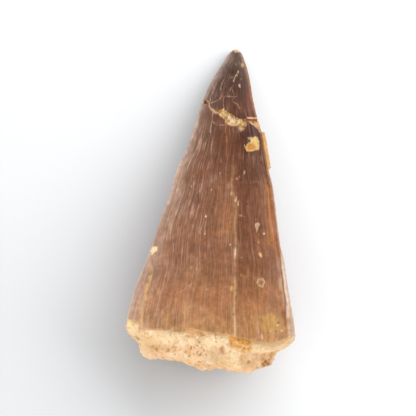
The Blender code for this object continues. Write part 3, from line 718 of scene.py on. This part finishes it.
def enamel_detail(points, turn):
    """Relief and look of the enamel at each of its points."""
    labial = (turn < 1) & (turn > 0)
    past_keel = np.where(turn > 1, np.minimum(turn - 1, 2 - turn), 0)
    above = eased(outward(points)[..., 2], -0.2, -0.03)
    colours = enamel_base(points, turn, above, past_keel)
    relief = np.zeros(points.shape[:-1])
    y = points[..., 1]

    # The carinae, and broad shallow flutes that run the length of the crown.
    from_keel = np.minimum(np.minimum(turn, 2 - turn), np.abs(turn - 1))
    relief += KEEL * near(from_keel, KEEL_WIDTH) * eased(y, TIP_Y, TIP_Y - 1.5)
    round_at = np.stack((np.cos(math.pi * turn) * 9, np.sin(math.pi * turn) * 9, y / 14), axis=-1)
    relief += 0.02 * grain(round_at, 1, 41) + 0.012 * grain(round_at, 0.5, 42)

    moved = wandering(wandering(points, 0.14, 0.6, 5), 0.05, 0.2, 12)
    broken = np.clip(0.85 + 0.7 * grain(points, 0.6, 61) + 0.6 * grain(points, 0.2, 60), 0.1, 1.25)
    for half_width, depth, strength, colour, line in CRACKS:
        mask = near(from_line(moved, line), 0.85 * half_width) * labial
        relief -= depth * mask
        colours = tinted(colours, colour, strength * mask * broken)

    slow = wandering(points, 0.12, 1.5, 6)
    # Pale and golden painted highlight along the facet edge.
    ridge_highlight = along_line(slow, FACET_LINE, 0.1, FACET_LINE_STRENGTH) * labial
    colours = tinted(colours, BEIGE, 0.5 * along_line(slow, FACET_LINE, 0.4, FACET_LINE_STRENGTH) * labial)
    golden = along_line(slow, FACET_LINE, 0.3, FACET_GOLD_STRENGTH) * labial
    colours = tinted(colours, FACET_GOLD_HIGHLIGHT, golden * broken)
    colours = tinted(colours, RIDGE_HIGHLIGHT, ridge_highlight * broken)
    golden = along_line(slow, LEFT_CARINA_LINE, 0.28, LEFT_CARINA_STRENGTH) * above
    colours = tinted(colours, GOLD, golden * broken)
    dark = along_line(slow, RIGHT_CARINA_LINE, 0.16, RIGHT_CARINA_STRENGTH) * above
    colours = tinted(colours, CARINA_SHADE, dark)
    # The white streak of painted highlight on the right, fading past the carina.
    highlight_streak = along_line(slow, RIGHT_STREAK, 0.18, RIGHT_STREAK_STRENGTH) * eased(past_keel, 0.03, 0.008)
    highlight_streak = highlight_streak * eased(y + STREAK_RETREAT * past_keel + 1.2 * grain(points, 1.2, 37), -5.0, -7.5)
    colours = tinted(colours, HIGHLIGHT_STREAK, highlight_streak * (0.8 + 0.4 * grain(points, 0.9, 63)))

    # A yellow patch, and flakes.
    patch = eased(inside(wandering(points, 0.4, 0.8, 8), YELLOW_PATCH), -0.35, 0.4) * labial
    colours = tinted(colours, OLD_YELLOW, 0.75 * patch * (1 + 0.5 * grain(points, 0.5, 67)))
    ragged = wandering(wandering(points, 0.1, 0.35, 7), 0.06, 0.15, 9)
    rough = grain(points, 0.3, 65) + 0.6 * grain(points, 0.15, 70)
    for outline, depth, colour in FLAKES:
        deep = inside(ragged, outline)
        relief -= depth * eased(deep, -0.03, 0.16) * (0.75 + 0.35 * grain(points, 0.5, 64)) * above
        worn_floor = linear(colour) * (1 + 0.14 * rough[..., None])
        colours = laid_over(colours, worn_floor, eased(deep, -0.06, 0.05) * above)
    chip_floor = eased(inside(ragged, CHIP), 0.02, 0.22) * labial * (1 + 0.3 * rough)
    colours = paint_blobs(colours, points, CHIP_FLOOR, chip_floor)
    for x, middle_y, half_x, half_y, strength, colour in SPECKS:
        away = np.hypot((ragged[..., 0] - x) / half_x, (ragged[..., 1] - middle_y) / half_y)
        mask = eased(away, 1.35, 0.35) * above
        relief -= 0.03 * mask * labial
        colours = tinted(colours, colour, strength * mask)
    ring = near(from_line(ragged, RING), 0.13) * broken * labial
    colours = tinted(colours, DUST, 0.7 * ring)
    return relief, own_colour(points, colours, ENAMEL_LIGHT, ENAMEL_GLOSS)


# Meshes.
def closed_rows(rows):
    """Faces between rows of points that each run round the tooth."""
    count, around = rows.shape[:2]
    upper = np.arange(count - 1)[:, None] * around
    here = np.arange(around)[None, :]
    after = (here + 1) % around
    faces = np.stack((upper + here, upper + after, upper + around + after, upper + around + here), axis=-1)
    return faces.reshape(-1, 4)


def make_piece(name, rows, colours, strand, slot, cap_start=False, cap_end=False):
    """A mesh through the rows, with its colours and the place of each point along the grain."""
    around = rows.shape[1]
    points = rows.reshape(-1, 3)
    faces = closed_rows(rows).tolist()
    colours = colours.reshape(-1, 3)
    strand = strand.reshape(-1, 3)
    for wanted, ring in ((cap_start, 0), (cap_end, len(rows) - 1)):
        if wanted:
            first = ring * around
            middle = len(points)
            points = np.vstack((points, rows[ring].mean(axis=0)))
            colours = np.vstack((colours, colours[first]))
            strand = np.vstack((strand, strand[first:first + around].mean(axis=0)))
            for j in range(around):
                pair = (first + (j + 1) % around, first + j)
                faces.append([middle, *(pair if ring == 0 else pair[::-1])])
    mesh = bpy.data.meshes.new(name)
    mesh.from_pydata(((points + SHIFT) * METRES).tolist(), [], faces)
    shade = mesh.attributes.new("shade", "FLOAT_COLOR", "POINT")
    shade.data.foreach_set("color", np.hstack((colours, np.ones((len(colours), 1)))).ravel())
    along = mesh.attributes.new("strand", "FLOAT_VECTOR", "POINT")
    along.data.foreach_set("vector", strand.ravel())
    mesh.shade_smooth()
    piece = bpy.data.objects.new(name, mesh)
    bpy.context.scene.collection.objects.link(piece)
    piece.data.materials.append(MATERIALS[slot])
    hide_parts("tooth")
    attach(piece, "root")


def strand_at(turn, y):
    """Places that run in step with the grain: close together round the tooth and far apart along it."""
    points = np.stack((np.cos(math.pi * turn) * 6, np.sin(math.pi * turn) * 6, y), axis=-1)
    sway = 0.003 * grain(points, 4.0, 21) + 0.0015 * grain(points, 1.5, 22)
    angle = math.pi * (turn + sway)
    return np.stack((np.cos(angle), np.sin(angle), y / 25.0), axis=-1)


# Materials.
FIBRE_SCALES = ((11.0, 1.6), (28.0, 3.2), (56.0, 7.0))  # round the tooth and along it, coarse to fine
PALE_FIBRE_LINEAR = (0.58, 0.4, 0.3)


def add(tree, kind, values=None, **settings):
    """A shader node, with its settings, and its sockets set or linked."""
    made = tree.nodes.new("ShaderNode" + kind)
    for name, value in settings.items():
        setattr(made, name, value)
    for name, value in (values or {}).items():
        if isinstance(value, bpy.types.NodeSocket):
            tree.links.new(value, made.inputs[name])
        else:
            made.inputs[name].default_value = value
    return made


def start_material(name):
    """A new material, its node tree and its shader."""
    material = bpy.data.materials.new(name)
    material.use_nodes = True
    tree = material.node_tree
    return material, tree, tree.nodes["Principled BSDF"]


def noise_value(tree, vector, scale, detail=2.0, roughness=0.5, distortion=0.0):
    """Noise at a place, mostly between 0.3 and 0.7."""
    values = {"Vector": vector, "Scale": scale, "Detail": detail}
    values.update({"Roughness": roughness, "Distortion": distortion})
    return add(tree, "TexNoise", values).outputs[0]


def remapped(tree, value, low, high, to_low, to_high):
    """A value moved from one range into another, and kept within it."""
    values = {"Value": value, "From Min": low, "From Max": high, "To Min": to_low, "To Max": to_high}
    return add(tree, "MapRange", values).outputs[0]


def multiplied(tree, first, second):
    """The product of two values."""
    return add(tree, "Math", {0: first, 1: second}, operation="MULTIPLY").outputs[0]


def times(tree, colour, value):
    """The colour made brighter or darker by a value."""
    made = add(tree, "VectorMath", {0: colour, "Scale": value}, operation="SCALE")
    return made.outputs["Vector"]


def enamel_material():
    """Polished brown enamel with fibres along the crown, paler and darker ones side by side."""
    material, tree, shader = start_material("fossil enamel")
    shade = add(tree, "Attribute", attribute_name="shade").outputs["Color"]
    strand = add(tree, "Attribute", attribute_name="strand").outputs["Vector"]
    place = add(tree, "TexCoord").outputs["Object"]
    fibres = []
    for round_scale, along_scale in FIBRE_SCALES:
        scales = (round_scale, round_scale, along_scale)
        at = add(tree, "VectorMath", {0: strand, 1: scales}, operation="MULTIPLY")
        fibres.append(noise_value(tree, at.outputs[0], 1.0, 3.0, 0.55, 0.3))
    broad, middle, thin = fibres

    # Pale marks show hardly any fibres, and the tip shows few.
    lightness = add(tree, "RGBToBW", {"Color": shade}).outputs[0]
    height = add(tree, "SeparateXYZ", {"Vector": strand}).outputs["Z"]
    fibrous = remapped(tree, lightness, 0.3, 0.6, 1.0, 0.2)
    fibrous = multiplied(tree, fibrous, remapped(tree, height, 0.5, 0.66, 1.0, 0.4))
    fibrous = multiplied(tree, fibrous, remapped(tree, height, -0.65, -0.2, 0.72, 1.0))
    bright = remapped(tree, broad, 0.3, 0.7, 0.86, 1.14)
    bright = multiplied(tree, bright, remapped(tree, middle, 0.3, 0.7, 0.87, 1.13))
    bright = multiplied(tree, bright, remapped(tree, thin, 0.3, 0.7, 0.85, 1.15))
    seen = times(tree, shade, remapped(tree, fibrous, 0.0, 1.0, 1.0, bright))
    blotch = noise_value(tree, place, 1100.0, 4.0, 0.7)
    seen = times(tree, seen, remapped(tree, blotch, 0.3, 0.7, 0.78, 1.22))
    patchy = remapped(tree, noise_value(tree, place, 350.0, 2.0, 0.5), 0.38, 0.62, 0.25, 1.0)
    pale = remapped(tree, middle, 0.46, 0.64, 0.0, 0.5)
    pale_share = multiplied(tree, pale, remapped(tree, thin, 0.5, 0.66, 0.0, 1.0))
    pale_share = multiplied(tree, multiplied(tree, pale_share, patchy), fibrous)
    mixed = add(tree, "Mix", {"Factor": pale_share, "A": seen, "B": PALE_FIBRE_LINEAR}, data_type="VECTOR")
    tree.links.new(mixed.outputs[1], shader.inputs["Base Color"])
    speckle = noise_value(tree, place, 2600.0, 3.0, 0.6)
    tree.links.new(remapped(tree, speckle, 0.3, 0.7, 0.3, 0.46), shader.inputs["Roughness"])
    lines = add(tree, "Bump", {"Height": middle, "Strength": 0.4, "Distance": 0.08 * METRES})
    fine_lines = add(tree, "Bump", {"Height": thin, "Strength": 0.4, "Distance": 0.04 * METRES,
                                    "Normal": lines.outputs["Normal"]})
    grit = add(tree, "Bump", {"Height": speckle, "Strength": 0.2, "Distance": 0.03 * METRES,
                              "Normal": fine_lines.outputs["Normal"]})
    tree.links.new(grit.outputs["Normal"], shader.inputs["Normal"])
    shader.inputs["IOR"].default_value = 1.45
    shader.inputs["Specular IOR Level"].default_value = 0.38
    shader.inputs["Coat Weight"].default_value = 0.1
    shader.inputs["Coat Roughness"].default_value = 0.2
    return material


def stony_material(name, roughness, grit_size, bump_depth):
    """Matt, granular stone, for the root and the filling."""
    material, tree, shader = start_material(name)
    shade = add(tree, "Attribute", attribute_name="shade").outputs["Color"]
    place = add(tree, "TexCoord").outputs["Object"]
    coarse = noise_value(tree, place, 1 / (3 * grit_size * METRES), 4.0, 0.65)
    grit = noise_value(tree, place, 1 / (grit_size * METRES), 3.0, 0.7)
    bright = remapped(tree, coarse, 0.25, 0.75, 0.86, 1.12)
    grit_bright = remapped(tree, grit, 0.3, 0.7, 0.88, 1.1)
    tree.links.new(times(tree, times(tree, shade, bright), grit_bright), shader.inputs["Base Color"])
    height = add(tree, "Math", {0: coarse, 1: grit}, operation="ADD").outputs[0]
    bump = add(tree, "Bump", {"Height": height, "Strength": 0.7, "Distance": bump_depth * METRES})
    tree.links.new(bump.outputs["Normal"], shader.inputs["Normal"])
    shader.inputs["Roughness"].default_value = roughness
    return material


# The pieces.
def make_crown(turn):
    """The enamel under the break, with its upper and lower edge turned in as a lip."""
    _, lower = break_edges(turn)
    edge = enamel_edge(turn)
    shares = np.linspace(0, 1, CROWN_ROWS)[:, None]
    y = lower + shares * (edge - lower)
    turns, rows = crown_rows(turn, y)
    relief, colours = enamel_detail(rows, turns)
    normals = outward(rows)
    from_keel = np.minimum(turns, 2 - turns)
    strip = np.clip((STRIP_TOP - y) / STRIP_STEP, 0, 1)
    strip = strip * np.clip((y - STRIP_END + STRIP_STEP) / STRIP_STEP, 0, 1)
    relief = relief + STRIP_OUT * strip * near(from_keel, STRIP_WIDTH)
    paint = partial(paint_enamel, rows)
    strip_face = eased(from_keel / STRIP_WIDTH, 1.05, 0.75)
    colours = paint(colours, SLIVER, strip_face * strip)
    bevel = eased(inside(wandering(rows, 0.06, 0.4, 9), BEVEL), -0.05, 0.08) * (turns < 1)
    relief = relief - BEVEL_DEPTH * bevel
    colours = paint(colours, SLOPE, bevel * (0.8 + 0.35 * grain(rows, 0.5, 68)))
    # Wear of both edges.
    colours = paint(colours, SAND, 0.55 * near(y - edge, 0.14))
    colours = paint(colours, BEIGE, 0.35 * near(y - lower, 0.12))
    rows = rows + relief[..., None] * normals
    rows[..., 2] -= knobs(rows)
    upper_lip, lower_lip = ([rows[ring] - depth * normals[ring] for depth in LIP] for ring in (0, -1))
    rows = np.concatenate((upper_lip[::-1], rows, lower_lip))
    lip_colours = np.broadcast_to(linear(SAND), (2, len(turn), 3))
    colours = np.concatenate((lip_colours, colours, lip_colours))
    strand = strand_at(np.broadcast_to(turn, rows.shape[:2]), rows[..., 1])
    make_piece("crown_enamel", rows, colours, strand, "enamel")


def make_tip(turn):
    """The enamel of the broken and mended tip."""
    upper, _ = break_edges(turn)
    nose, rest = np.linspace(0.0004, 0.02, NOSE_ROWS), np.linspace(0.03, 1, TIP_ROWS - NOSE_ROWS)
    reach = np.concatenate((nose, rest))[:, None]
    y = TIP_Y - reach * (TIP_Y - upper)
    turns, rows = crown_rows(turn, y)
    relief, colours = enamel_detail(rows, turns)
    normals = outward(rows)
    paint = partial(paint_enamel, rows)
    worn_tip = eased(y + 0.2 * grain(rows, 0.4, 69), 24.78, 24.94)
    worn_tip = worn_tip * eased(np.abs(rows[..., 0] - WORN_TIP_X), 0.58, 0.36)
    colours = paint(colours, WORN_TIP, worn_tip)
    right_edge = near(np.minimum(turns, 2 - turns), 0.02)
    colours = paint(colours, TIP_EDGE, 0.7 * right_edge * eased(y, 15, 17) * eased(y, 24, 22.5))
    # The broken edge shows pale on the right.
    ledge = eased(y - upper + 0.05 * grain(rows, 0.4, 93), 0.36, 0.24)
    ledge = ledge * eased(rows[..., 0], 5.6, 6.0) * (turns < 1)
    ledge = ledge * eased(y - upper, 0.02, 0.1) * (0.9 + 0.3 * grain(rows, 0.6, 94))
    colours = paint(colours, LEDGE, ledge)
    colours = paint(colours, BREAK_EDGE, 0.5 * near(y - upper, 0.1) * (1 - ledge))
    rows = rows + relief[..., None] * normals
    inner = [rows[-1] - depth * normals[-1] for depth in LIP]
    rows = np.concatenate((rows, inner))
    colours = np.concatenate((colours, np.broadcast_to(linear(RUST), (2, len(turn), 3))))
    strand = strand_at(np.broadcast_to(turn, rows.shape[:2]), rows[..., 1])
    make_piece("tip_enamel", rows, colours, strand, "enamel", cap_start=True)


# Colours of the filling and of the root in plan: x, y, half sizes across and along, strength and colour.
FILLING_TINTS = (
    (1.78, 15.35, 0.9, 0.5, 0.7, (220, 164, 92)), (2.56, 15.27, 0.6, 0.4, 0.7, (232, 196, 128)),
    (3.25, 14.26, 0.7, 0.55, 0.95, (252, 218, 184)), (3.8, 13.87, 0.5, 0.3, 0.7, (252, 210, 160)),
    (2.71, 14.03, 0.35, 0.5, 0.6, (214, 140, 74)), (5.12, 13.02, 0.6, 0.6, 0.85, (196, 162, 104)),
    (5.35, 14.09, 0.6, 0.25, 0.8, (150, 112, 68)), (1.01, 15.33, 0.4, 0.3, 0.6, (190, 130, 66)),
)
FILLING_SPARKLES = (
    (1.55, 14.99, 0.13, 0.16), (3.36, 14.09, 0.2, 0.2), (4.45, 13.83, 0.15, 0.18), (4.01, 14.03, 0.1, 0.1),
    (2.15, 14.49, 0.1, 0.08), (2.93, 14.59, 0.12, 0.09), (4.94, 12.63, 0.09, 0.12),
)
ROOT_TINTS = (
    (-12.32, -17.9, 0.9, 1.3, 0.8, (252, 224, 172)), (-11.24, -19.3, 0.7, 0.6, 0.6, (238, 194, 134)),
    (-9.38, -19.76, 1.2, 0.7, 0.7, (240, 198, 140)), (-5.97, -19.61, 1.9, 0.8, 0.9, (254, 228, 182)),
    (-3.33, -19.53, 1.2, 0.5, 0.8, (228, 176, 124)), (-4.26, -20.23, 0.5, 1, 0.8, (254, 230, 196)),
    (-1.78, -19.45, 0.6, 0.9, 0.75, (190, 142, 82)), (0.85, -19.89, 1.8, 0.7, 1, (255, 230, 184)),
    (-0.85, -21, 0.7, 0.8, 0.6, (252, 226, 184)), (-8.45, -21.16, 1.1, 0.5, 0.75, (206, 152, 92)),
    (-6.43, -21.39, 0.5, 0.4, 0.5, (206, 158, 106)), (-7.67, -22.4, 3, 1.1, 0.8, (242, 202, 158)),
    (-2.25, -21.62, 1.5, 0.8, 0.6, (232, 186, 140)), (0.7, -22.32, 1.3, 1.1, 0.85, (222, 184, 142)),
    (1.78, -21.37, 0.5, 0.35, 0.8, (186, 130, 86)), (3.64, -22.01, 0.7, 0.8, 0.9, (253, 228, 186)),
    (-1.63, -22.55, 0.9, 0.6, 0.6, (248, 214, 166)), (7.98, -21, 2.2, 0.75, 1, (255, 223, 174)),
    (10.93, -20.38, 1.2, 0.9, 0.85, (255, 222, 174)), (5.97, -23.17, 1.2, 0.6, 0.75, (206, 150, 82)),
    (2.4, -23.17, 1.5, 0.8, 0.7, (232, 192, 132)), (7.98, -22.4, 1.1, 0.6, 0.6, (226, 180, 138)),
    (5.35, -22.24, 0.5, 0.5, 0.5, (232, 190, 140)), (8.76, -23.48, 0.7, 0.6, 0.85, (180, 124, 66)),
    (9.69, -22.4, 0.5, 0.6, 0.5, (224, 172, 112)), (-2.09, -23.95, 0.7, 0.35, 0.7, (226, 158, 90)),
    (0.54, -24.18, 0.9, 0.3, 0.6, (214, 144, 84)), (-3.8, -23.33, 1.2, 0.4, 0.5, (240, 184, 120)),
    (4.57, -24.1, 1.6, 0.4, 0.5, (236, 180, 116)), (6.9, -24.1, 1, 0.5, 0.6, (222, 178, 130)),
)
ORANGE_PATCH = (
    (2.62, -18.91), (4.11, -19.2), (6.22, -19.45), (6.25, -20.54), (5.72, -21.84), (4.57, -21.41),
    (3.55, -20.93), (2.96, -20.17),
)
# Pits in the root: x, y, radius and strength.
ROOT_PITS = (
    (-8.91, -20.91, 0.3, 0.6), (-8.2, -21.25, 0.3, 0.6), (-7.83, -20.79, 0.18, 0.5),
    (-6.49, -21.47, 0.24, 0.6), (-5.84, -20.96, 0.18, 0.5), (-3.89, -21.82, 0.16, 0.7),
    (-3.24, -21.53, 0.2, 0.8), (-2.65, -21.25, 0.22, 0.6), (-3.12, -22.24, 0.18, 0.8),
    (-2.46, -21.99, 0.16, 0.7), (-1.91, -21.68, 0.18, 0.6), (-1.41, -21.93, 0.2, 0.8),
    (-0.95, -21.53, 0.16, 0.7), (-0.54, -22.03, 0.16, 0.6), (-2.09, -20.85, 0.3, 0.6),
    (-1.63, -20.23, 0.26, 0.6), (-11.24, -19.82, 0.34, 0.8), (-11.61, -19.58, 0.22, 0.6),
    (8.6, -23.17, 0.3, 0.9), (9.13, -22.96, 0.22, 0.8), (8.23, -23.7, 0.26, 0.8), (9.01, -23.64, 0.2, 0.7),
    (9.47, -22.46, 0.2, 0.5), (3.24, -20.43, 0.2, 0.6), (4.42, -19.7, 0.2, 0.5), (5.32, -21.06, 0.24, 0.8),
    (5.04, -20.13, 0.18, 0.5), (5.91, -23.02, 0.3, 0.6), (7.27, -23.95, 0.2, 0.6),
    (3.83, -21.78, 0.12, 0.4), (5.44, -22.46, 0.14, 0.5), (-1.01, -23.42, 0.16, 0.6),
    (-1.57, -23.48, 0.18, 0.5), (0.64, -23.7, 0.16, 0.4), (-5.29, -20.38, 0.14, 0.4),
)
ROOT_GLINTS = (
    (-1.94, -19.39, 0.14, 0.24), (5.29, -20.75, 0.1, 0.1), (8.76, -23.02, 0.08, 0.06),
    (-4.32, -20.38, 0.3, 0.3),
)


def make_filling(turn):
    """The sandy filling of the break, which reaches a little under the enamel on both sides."""
    upper, lower = break_edges(turn)
    shares = np.linspace(0, 1, FILL_ROWS)[:, None]
    y = upper + FILL_UNDER + shares * (lower - upper - 2 * FILL_UNDER)
    turns, rows = crown_rows(turn, y)
    normals = outward(rows)
    from_edge = np.minimum(upper - y, y - lower)
    wide = eased(upper - lower, 0.35, 1.0)
    swell = eased(from_edge, -0.15, 0.2) * wide
    lumpy = 0.5 * grain(rows, 0.7, 71) + 0.45 * grain(rows, 0.34, 72) + 0.3 * grain(rows, 0.17, 73)
    thin = 1 - wide
    notch = eased(rows[..., 0], -0.1, -0.5) * (turns < 1)
    relief = -FILL_DEPTH * swell - 0.03 - 0.1 * thin * eased(rows[..., 0], 5.0, 5.6) - 0.3 * notch
    relief = relief + swell * (0.14 + 0.36 * lumpy)
    rows = rows + relief[..., None] * normals
    colours = np.broadcast_to(linear(FILLING), rows.shape)
    blotchy = wandering(rows, 0.2, 0.5, 75)
    colours = paint_blobs(colours, blotchy, FILLING_TINTS)
    # Painted shade in the hollows between the lumps.
    colours = tinted(colours, FILLING_HOLLOW_SHADE, 0.7 * eased(-lumpy, 0.15, 0.6))
    crumbs = grain(rows, 0.3, 76) + 0.6 * grain(rows, 0.15, 77)
    colours = tinted(colours, DARK_CRUMB, 0.75 * eased(-crumbs, 0.25, 0.7) * swell)
    colours = tinted(colours, PALE_CRUMB, 0.65 * eased(crumbs, 0.3, 0.8) * swell)
    colours = tinted(colours, BEIGE, 0.8 * thin * eased(rows[..., 0], 1.6, 1.0))
    # Painted shadow in the recessed seam under the tip's pale ledge, on the right.
    colours = tinted(colours, LEDGE_SHADOW, 0.8 * thin * eased(rows[..., 0], 5.0, 5.6) * (turns < 1))
    colours = tinted(colours, NOTCH, 0.95 * notch)
    colours = paint_blobs(colours, rows, [(*sparkle, 1.0, WHITE) for sparkle in FILLING_SPARKLES])
    colours = own_colour(rows, colours, STONE_LIGHT, STONE_GLOSS)
    strand = strand_at(turns, rows[..., 1])
    make_piece("break_filling", rows, colours, strand, "fill")


def make_root(turn):
    """The broken root, from a little under the enamel down to its rough end."""
    edge = enamel_edge(turn)
    _, hidden = crown_rows(turn, np.stack([edge + rise for rise in ROOT_HIDDEN]))
    along = np.linspace(0, 1, ROOT_ROWS)
    shares = np.interp(along, *zip(*ROOT_SPACING))
    shown = np.array([root_ring(turn, share) for share in shares])
    rows = np.concatenate((hidden, shown))
    turns = np.broadcast_to(turn, rows.shape[:2])
    normals = outward(rows)
    y = rows[..., 1]
    facing_up = eased(normals[..., 2], 0.02, 0.2) * (rows[..., 2] > ROOT_CENTRE[1])
    below_edge = edge - y
    relief = 0.3 * grain(rows, 3.4, 7) + 0.25 * grain(rows, 1.6, 12)
    relief += lumps(rows, ROOT_LUMPS) * facing_up + lumps(rows, ROOT_OUTLINE_LUMPS)
    for x1, y1, x2, y2, half_width, depth in ROOT_GROOVES:
        away = from_line(rows, ((x1, y1), (x2, y2)))
        relief -= depth * near(away, half_width) * facing_up
    relief += 0.4 * (np.abs(grain(rows, 1.5, 95)) - 0.25) + 0.2 * (np.abs(grain(rows, 0.7, 96)) - 0.25)
    rough = 0.12 * grain(rows, 0.8, 81) + 0.09 * grain(rows, 0.4, 82) + 0.05 * grain(rows, 0.2, 83)
    relief += rough
    relief = relief * eased(below_edge, -0.1, 0.7) - 0.18 * eased(below_edge, 0.5, 0.0)

    ragged = wandering(rows, 0.3, 0.9, 88)
    ragged = wandering(ragged, 0.15, 0.35, 89)
    colours = np.broadcast_to(linear(STONE), rows.shape)
    colours = tinted(colours, PALE_STONE, 0.75 * eased(grain(rows, 1.3, 84), 0.0, 0.4))
    colours = tinted(colours, TAN_STONE, 0.7 * eased(grain(rows, 1.7, 85), 0.15, 0.55))
    colours = tinted(colours, BROWN_STONE, 0.45 * eased(grain(rows, 0.6, 98), 0.25, 0.7))
    colours = paint_blobs(colours, ragged, ROOT_TINTS, facing_up)
    patch = eased(inside(ragged, ORANGE_PATCH), -0.35, 0.35) * facing_up
    patch = patch * (0.82 + 0.4 * grain(rows, 0.5, 91) + 0.35 * grain(rows, 0.22, 92))
    colours = tinted(colours, ORANGE_STAIN, patch)
    from_end = np.concatenate((np.ones(len(hidden)), shares))[:, None]
    edging = eased(from_end, 0.07, 0.01)
    colours = tinted(colours, STONE_EDGE, 0.5 * edging * eased(grain(rows, 1.1, 90), -0.4, 0.3))
    pitted = eased(grain(rows, 0.45, 86) + 0.5 * grain(rows, 0.22, 87), 0.55, 0.9)
    relief -= 0.12 * pitted * eased(below_edge, 0.1, 0.5)
    colours = tinted(colours, PITTED, 0.55 * pitted)
    slightly = wandering(rows, 0.06, 0.3, 97)
    for pit_x, pit_y, radius, strength in ROOT_PITS:
        away = np.hypot(slightly[..., 0] - pit_x, slightly[..., 1] - pit_y) / radius
        mask = eased(away, 1.3, 0.3) * facing_up
        relief -= 0.4 * radius * mask
        colours = tinted(colours, PIT_FLOOR, 0.8 * strength * mask)
    # Painted shade where the rough relief of the root dips.
    colours = tinted(colours, STONE_HOLLOW_SHADE, 0.35 * eased(-rough, 0.04, 0.14))
    colours = paint_blobs(colours, ragged, [(*glint, 1.0, WHITE) for glint in ROOT_GLINTS], facing_up)
    rows = rows + relief[..., None] * normals
    rows[..., 2] -= knobs(rows)
    colours = own_colour(rows, colours, STONE_LIGHT, STONE_GLOSS)
    strand = strand_at(turns, rows[..., 1])
    make_piece("broken_root", rows, colours, strand, "root", cap_end=True)


turn = np.concatenate([
    start + np.arange(steps) / steps for start, steps in ((0, LABIAL_STEPS), (1, LINGUAL_STEPS))
])
MATERIALS = {
    "enamel": enamel_material(),
    "root": stony_material("fossil root", 0.8, 0.12, 0.12),
    "fill": stony_material("sandy filling", 0.6, 0.1, 0.1),
}

# From the drawing's origin to the part's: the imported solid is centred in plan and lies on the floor.
low, high = (Vector(corner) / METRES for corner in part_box("tooth"))
SHIFT = np.array(((low.x + high.x) / 2 - DRAWN_MIDDLE_X, high.y - DRAWN_TIP_Y, RAISED))

make_crown(turn)
make_tip(turn)
make_filling(turn)
make_root(turn)

# Floor, camera and light.
scene = bpy.context.scene
side = FLOOR_SIDE / 2
corners = [(-side, -side, 0), (side, -side, 0), (side, side, 0), (-side, side, 0)]
floor_mesh = bpy.data.meshes.new("floor")
floor_mesh.from_pydata(corners, [], [(0, 1, 2, 3)])
floor = bpy.data.objects.new("floor", floor_mesh)
scene.collection.objects.link(floor)
floor_material, _, floor_shader = start_material("pale floor")
floor_shader.inputs["Base Color"].default_value = FLOOR_COLOUR
floor_shader.inputs["Roughness"].default_value = 0.9
floor_mesh.materials.append(floor_material)

camera_data = bpy.data.cameras.new("camera")
camera_data.lens = LENS
camera_data.sensor_width = SENSOR
camera_data.clip_end = 10.0
camera = bpy.data.objects.new("camera", camera_data)
view_middle = Vector((PHOTO_MIDDLE[0] + SHIFT[0], PHOTO_MIDDLE[1] + SHIFT[1], VIEW_HEIGHT))
camera.location = (view_middle + Vector((0, 0, PHOTO_SIDE * PIXEL * LENS / SENSOR))) * METRES
scene.collection.objects.link(camera)
scene.camera = camera

# The lamp casts the shadow on the floor and lights nothing else. The tooth is lit by the room alone, which
# gives the photo's even shading.
lamp_data = bpy.data.lights.new("key", "AREA")
lamp_data.shape = "RECTANGLE"
lamp_data.energy = LAMP_POWER
lamp_data.size = LAMP_LENGTH
lamp_data.size_y = LAMP_WIDTH
lamp = bpy.data.objects.new("key", lamp_data)
lamp.location = LAMP_PLACE
lamp.rotation_euler = (Vector(LAMP_TARGET) - Vector(LAMP_PLACE)).to_track_quat("-Z", "Y").to_euler()
scene.collection.objects.link(lamp)
lit_by_lamp = bpy.data.collections.new("lit by the lamp")
lit_by_lamp.objects.link(floor)
lamp.light_linking.receiver_collection = lit_by_lamp

world = bpy.data.worlds.new("soft room")
world.use_nodes = True
tree = world.node_tree
direction = add(tree, "TexCoord").outputs["Generated"]
toward = add(tree, "VectorMath", {0: direction, 1: ROOM_BRIGHT_SIDE}, operation="DOT_PRODUCT")
darkest, brightest = ROOM_MEAN - ROOM_SWING, ROOM_MEAN + ROOM_SWING
brightness = remapped(tree, toward.outputs["Value"], -1.0, 1.0, darkest, brightest)
background = tree.nodes["Background"]
tree.links.new(brightness, background.inputs["Strength"])
background.inputs["Color"].default_value = (1, 1, 1, 1)
scene.world = world
scene.view_settings.view_transform = "Standard"
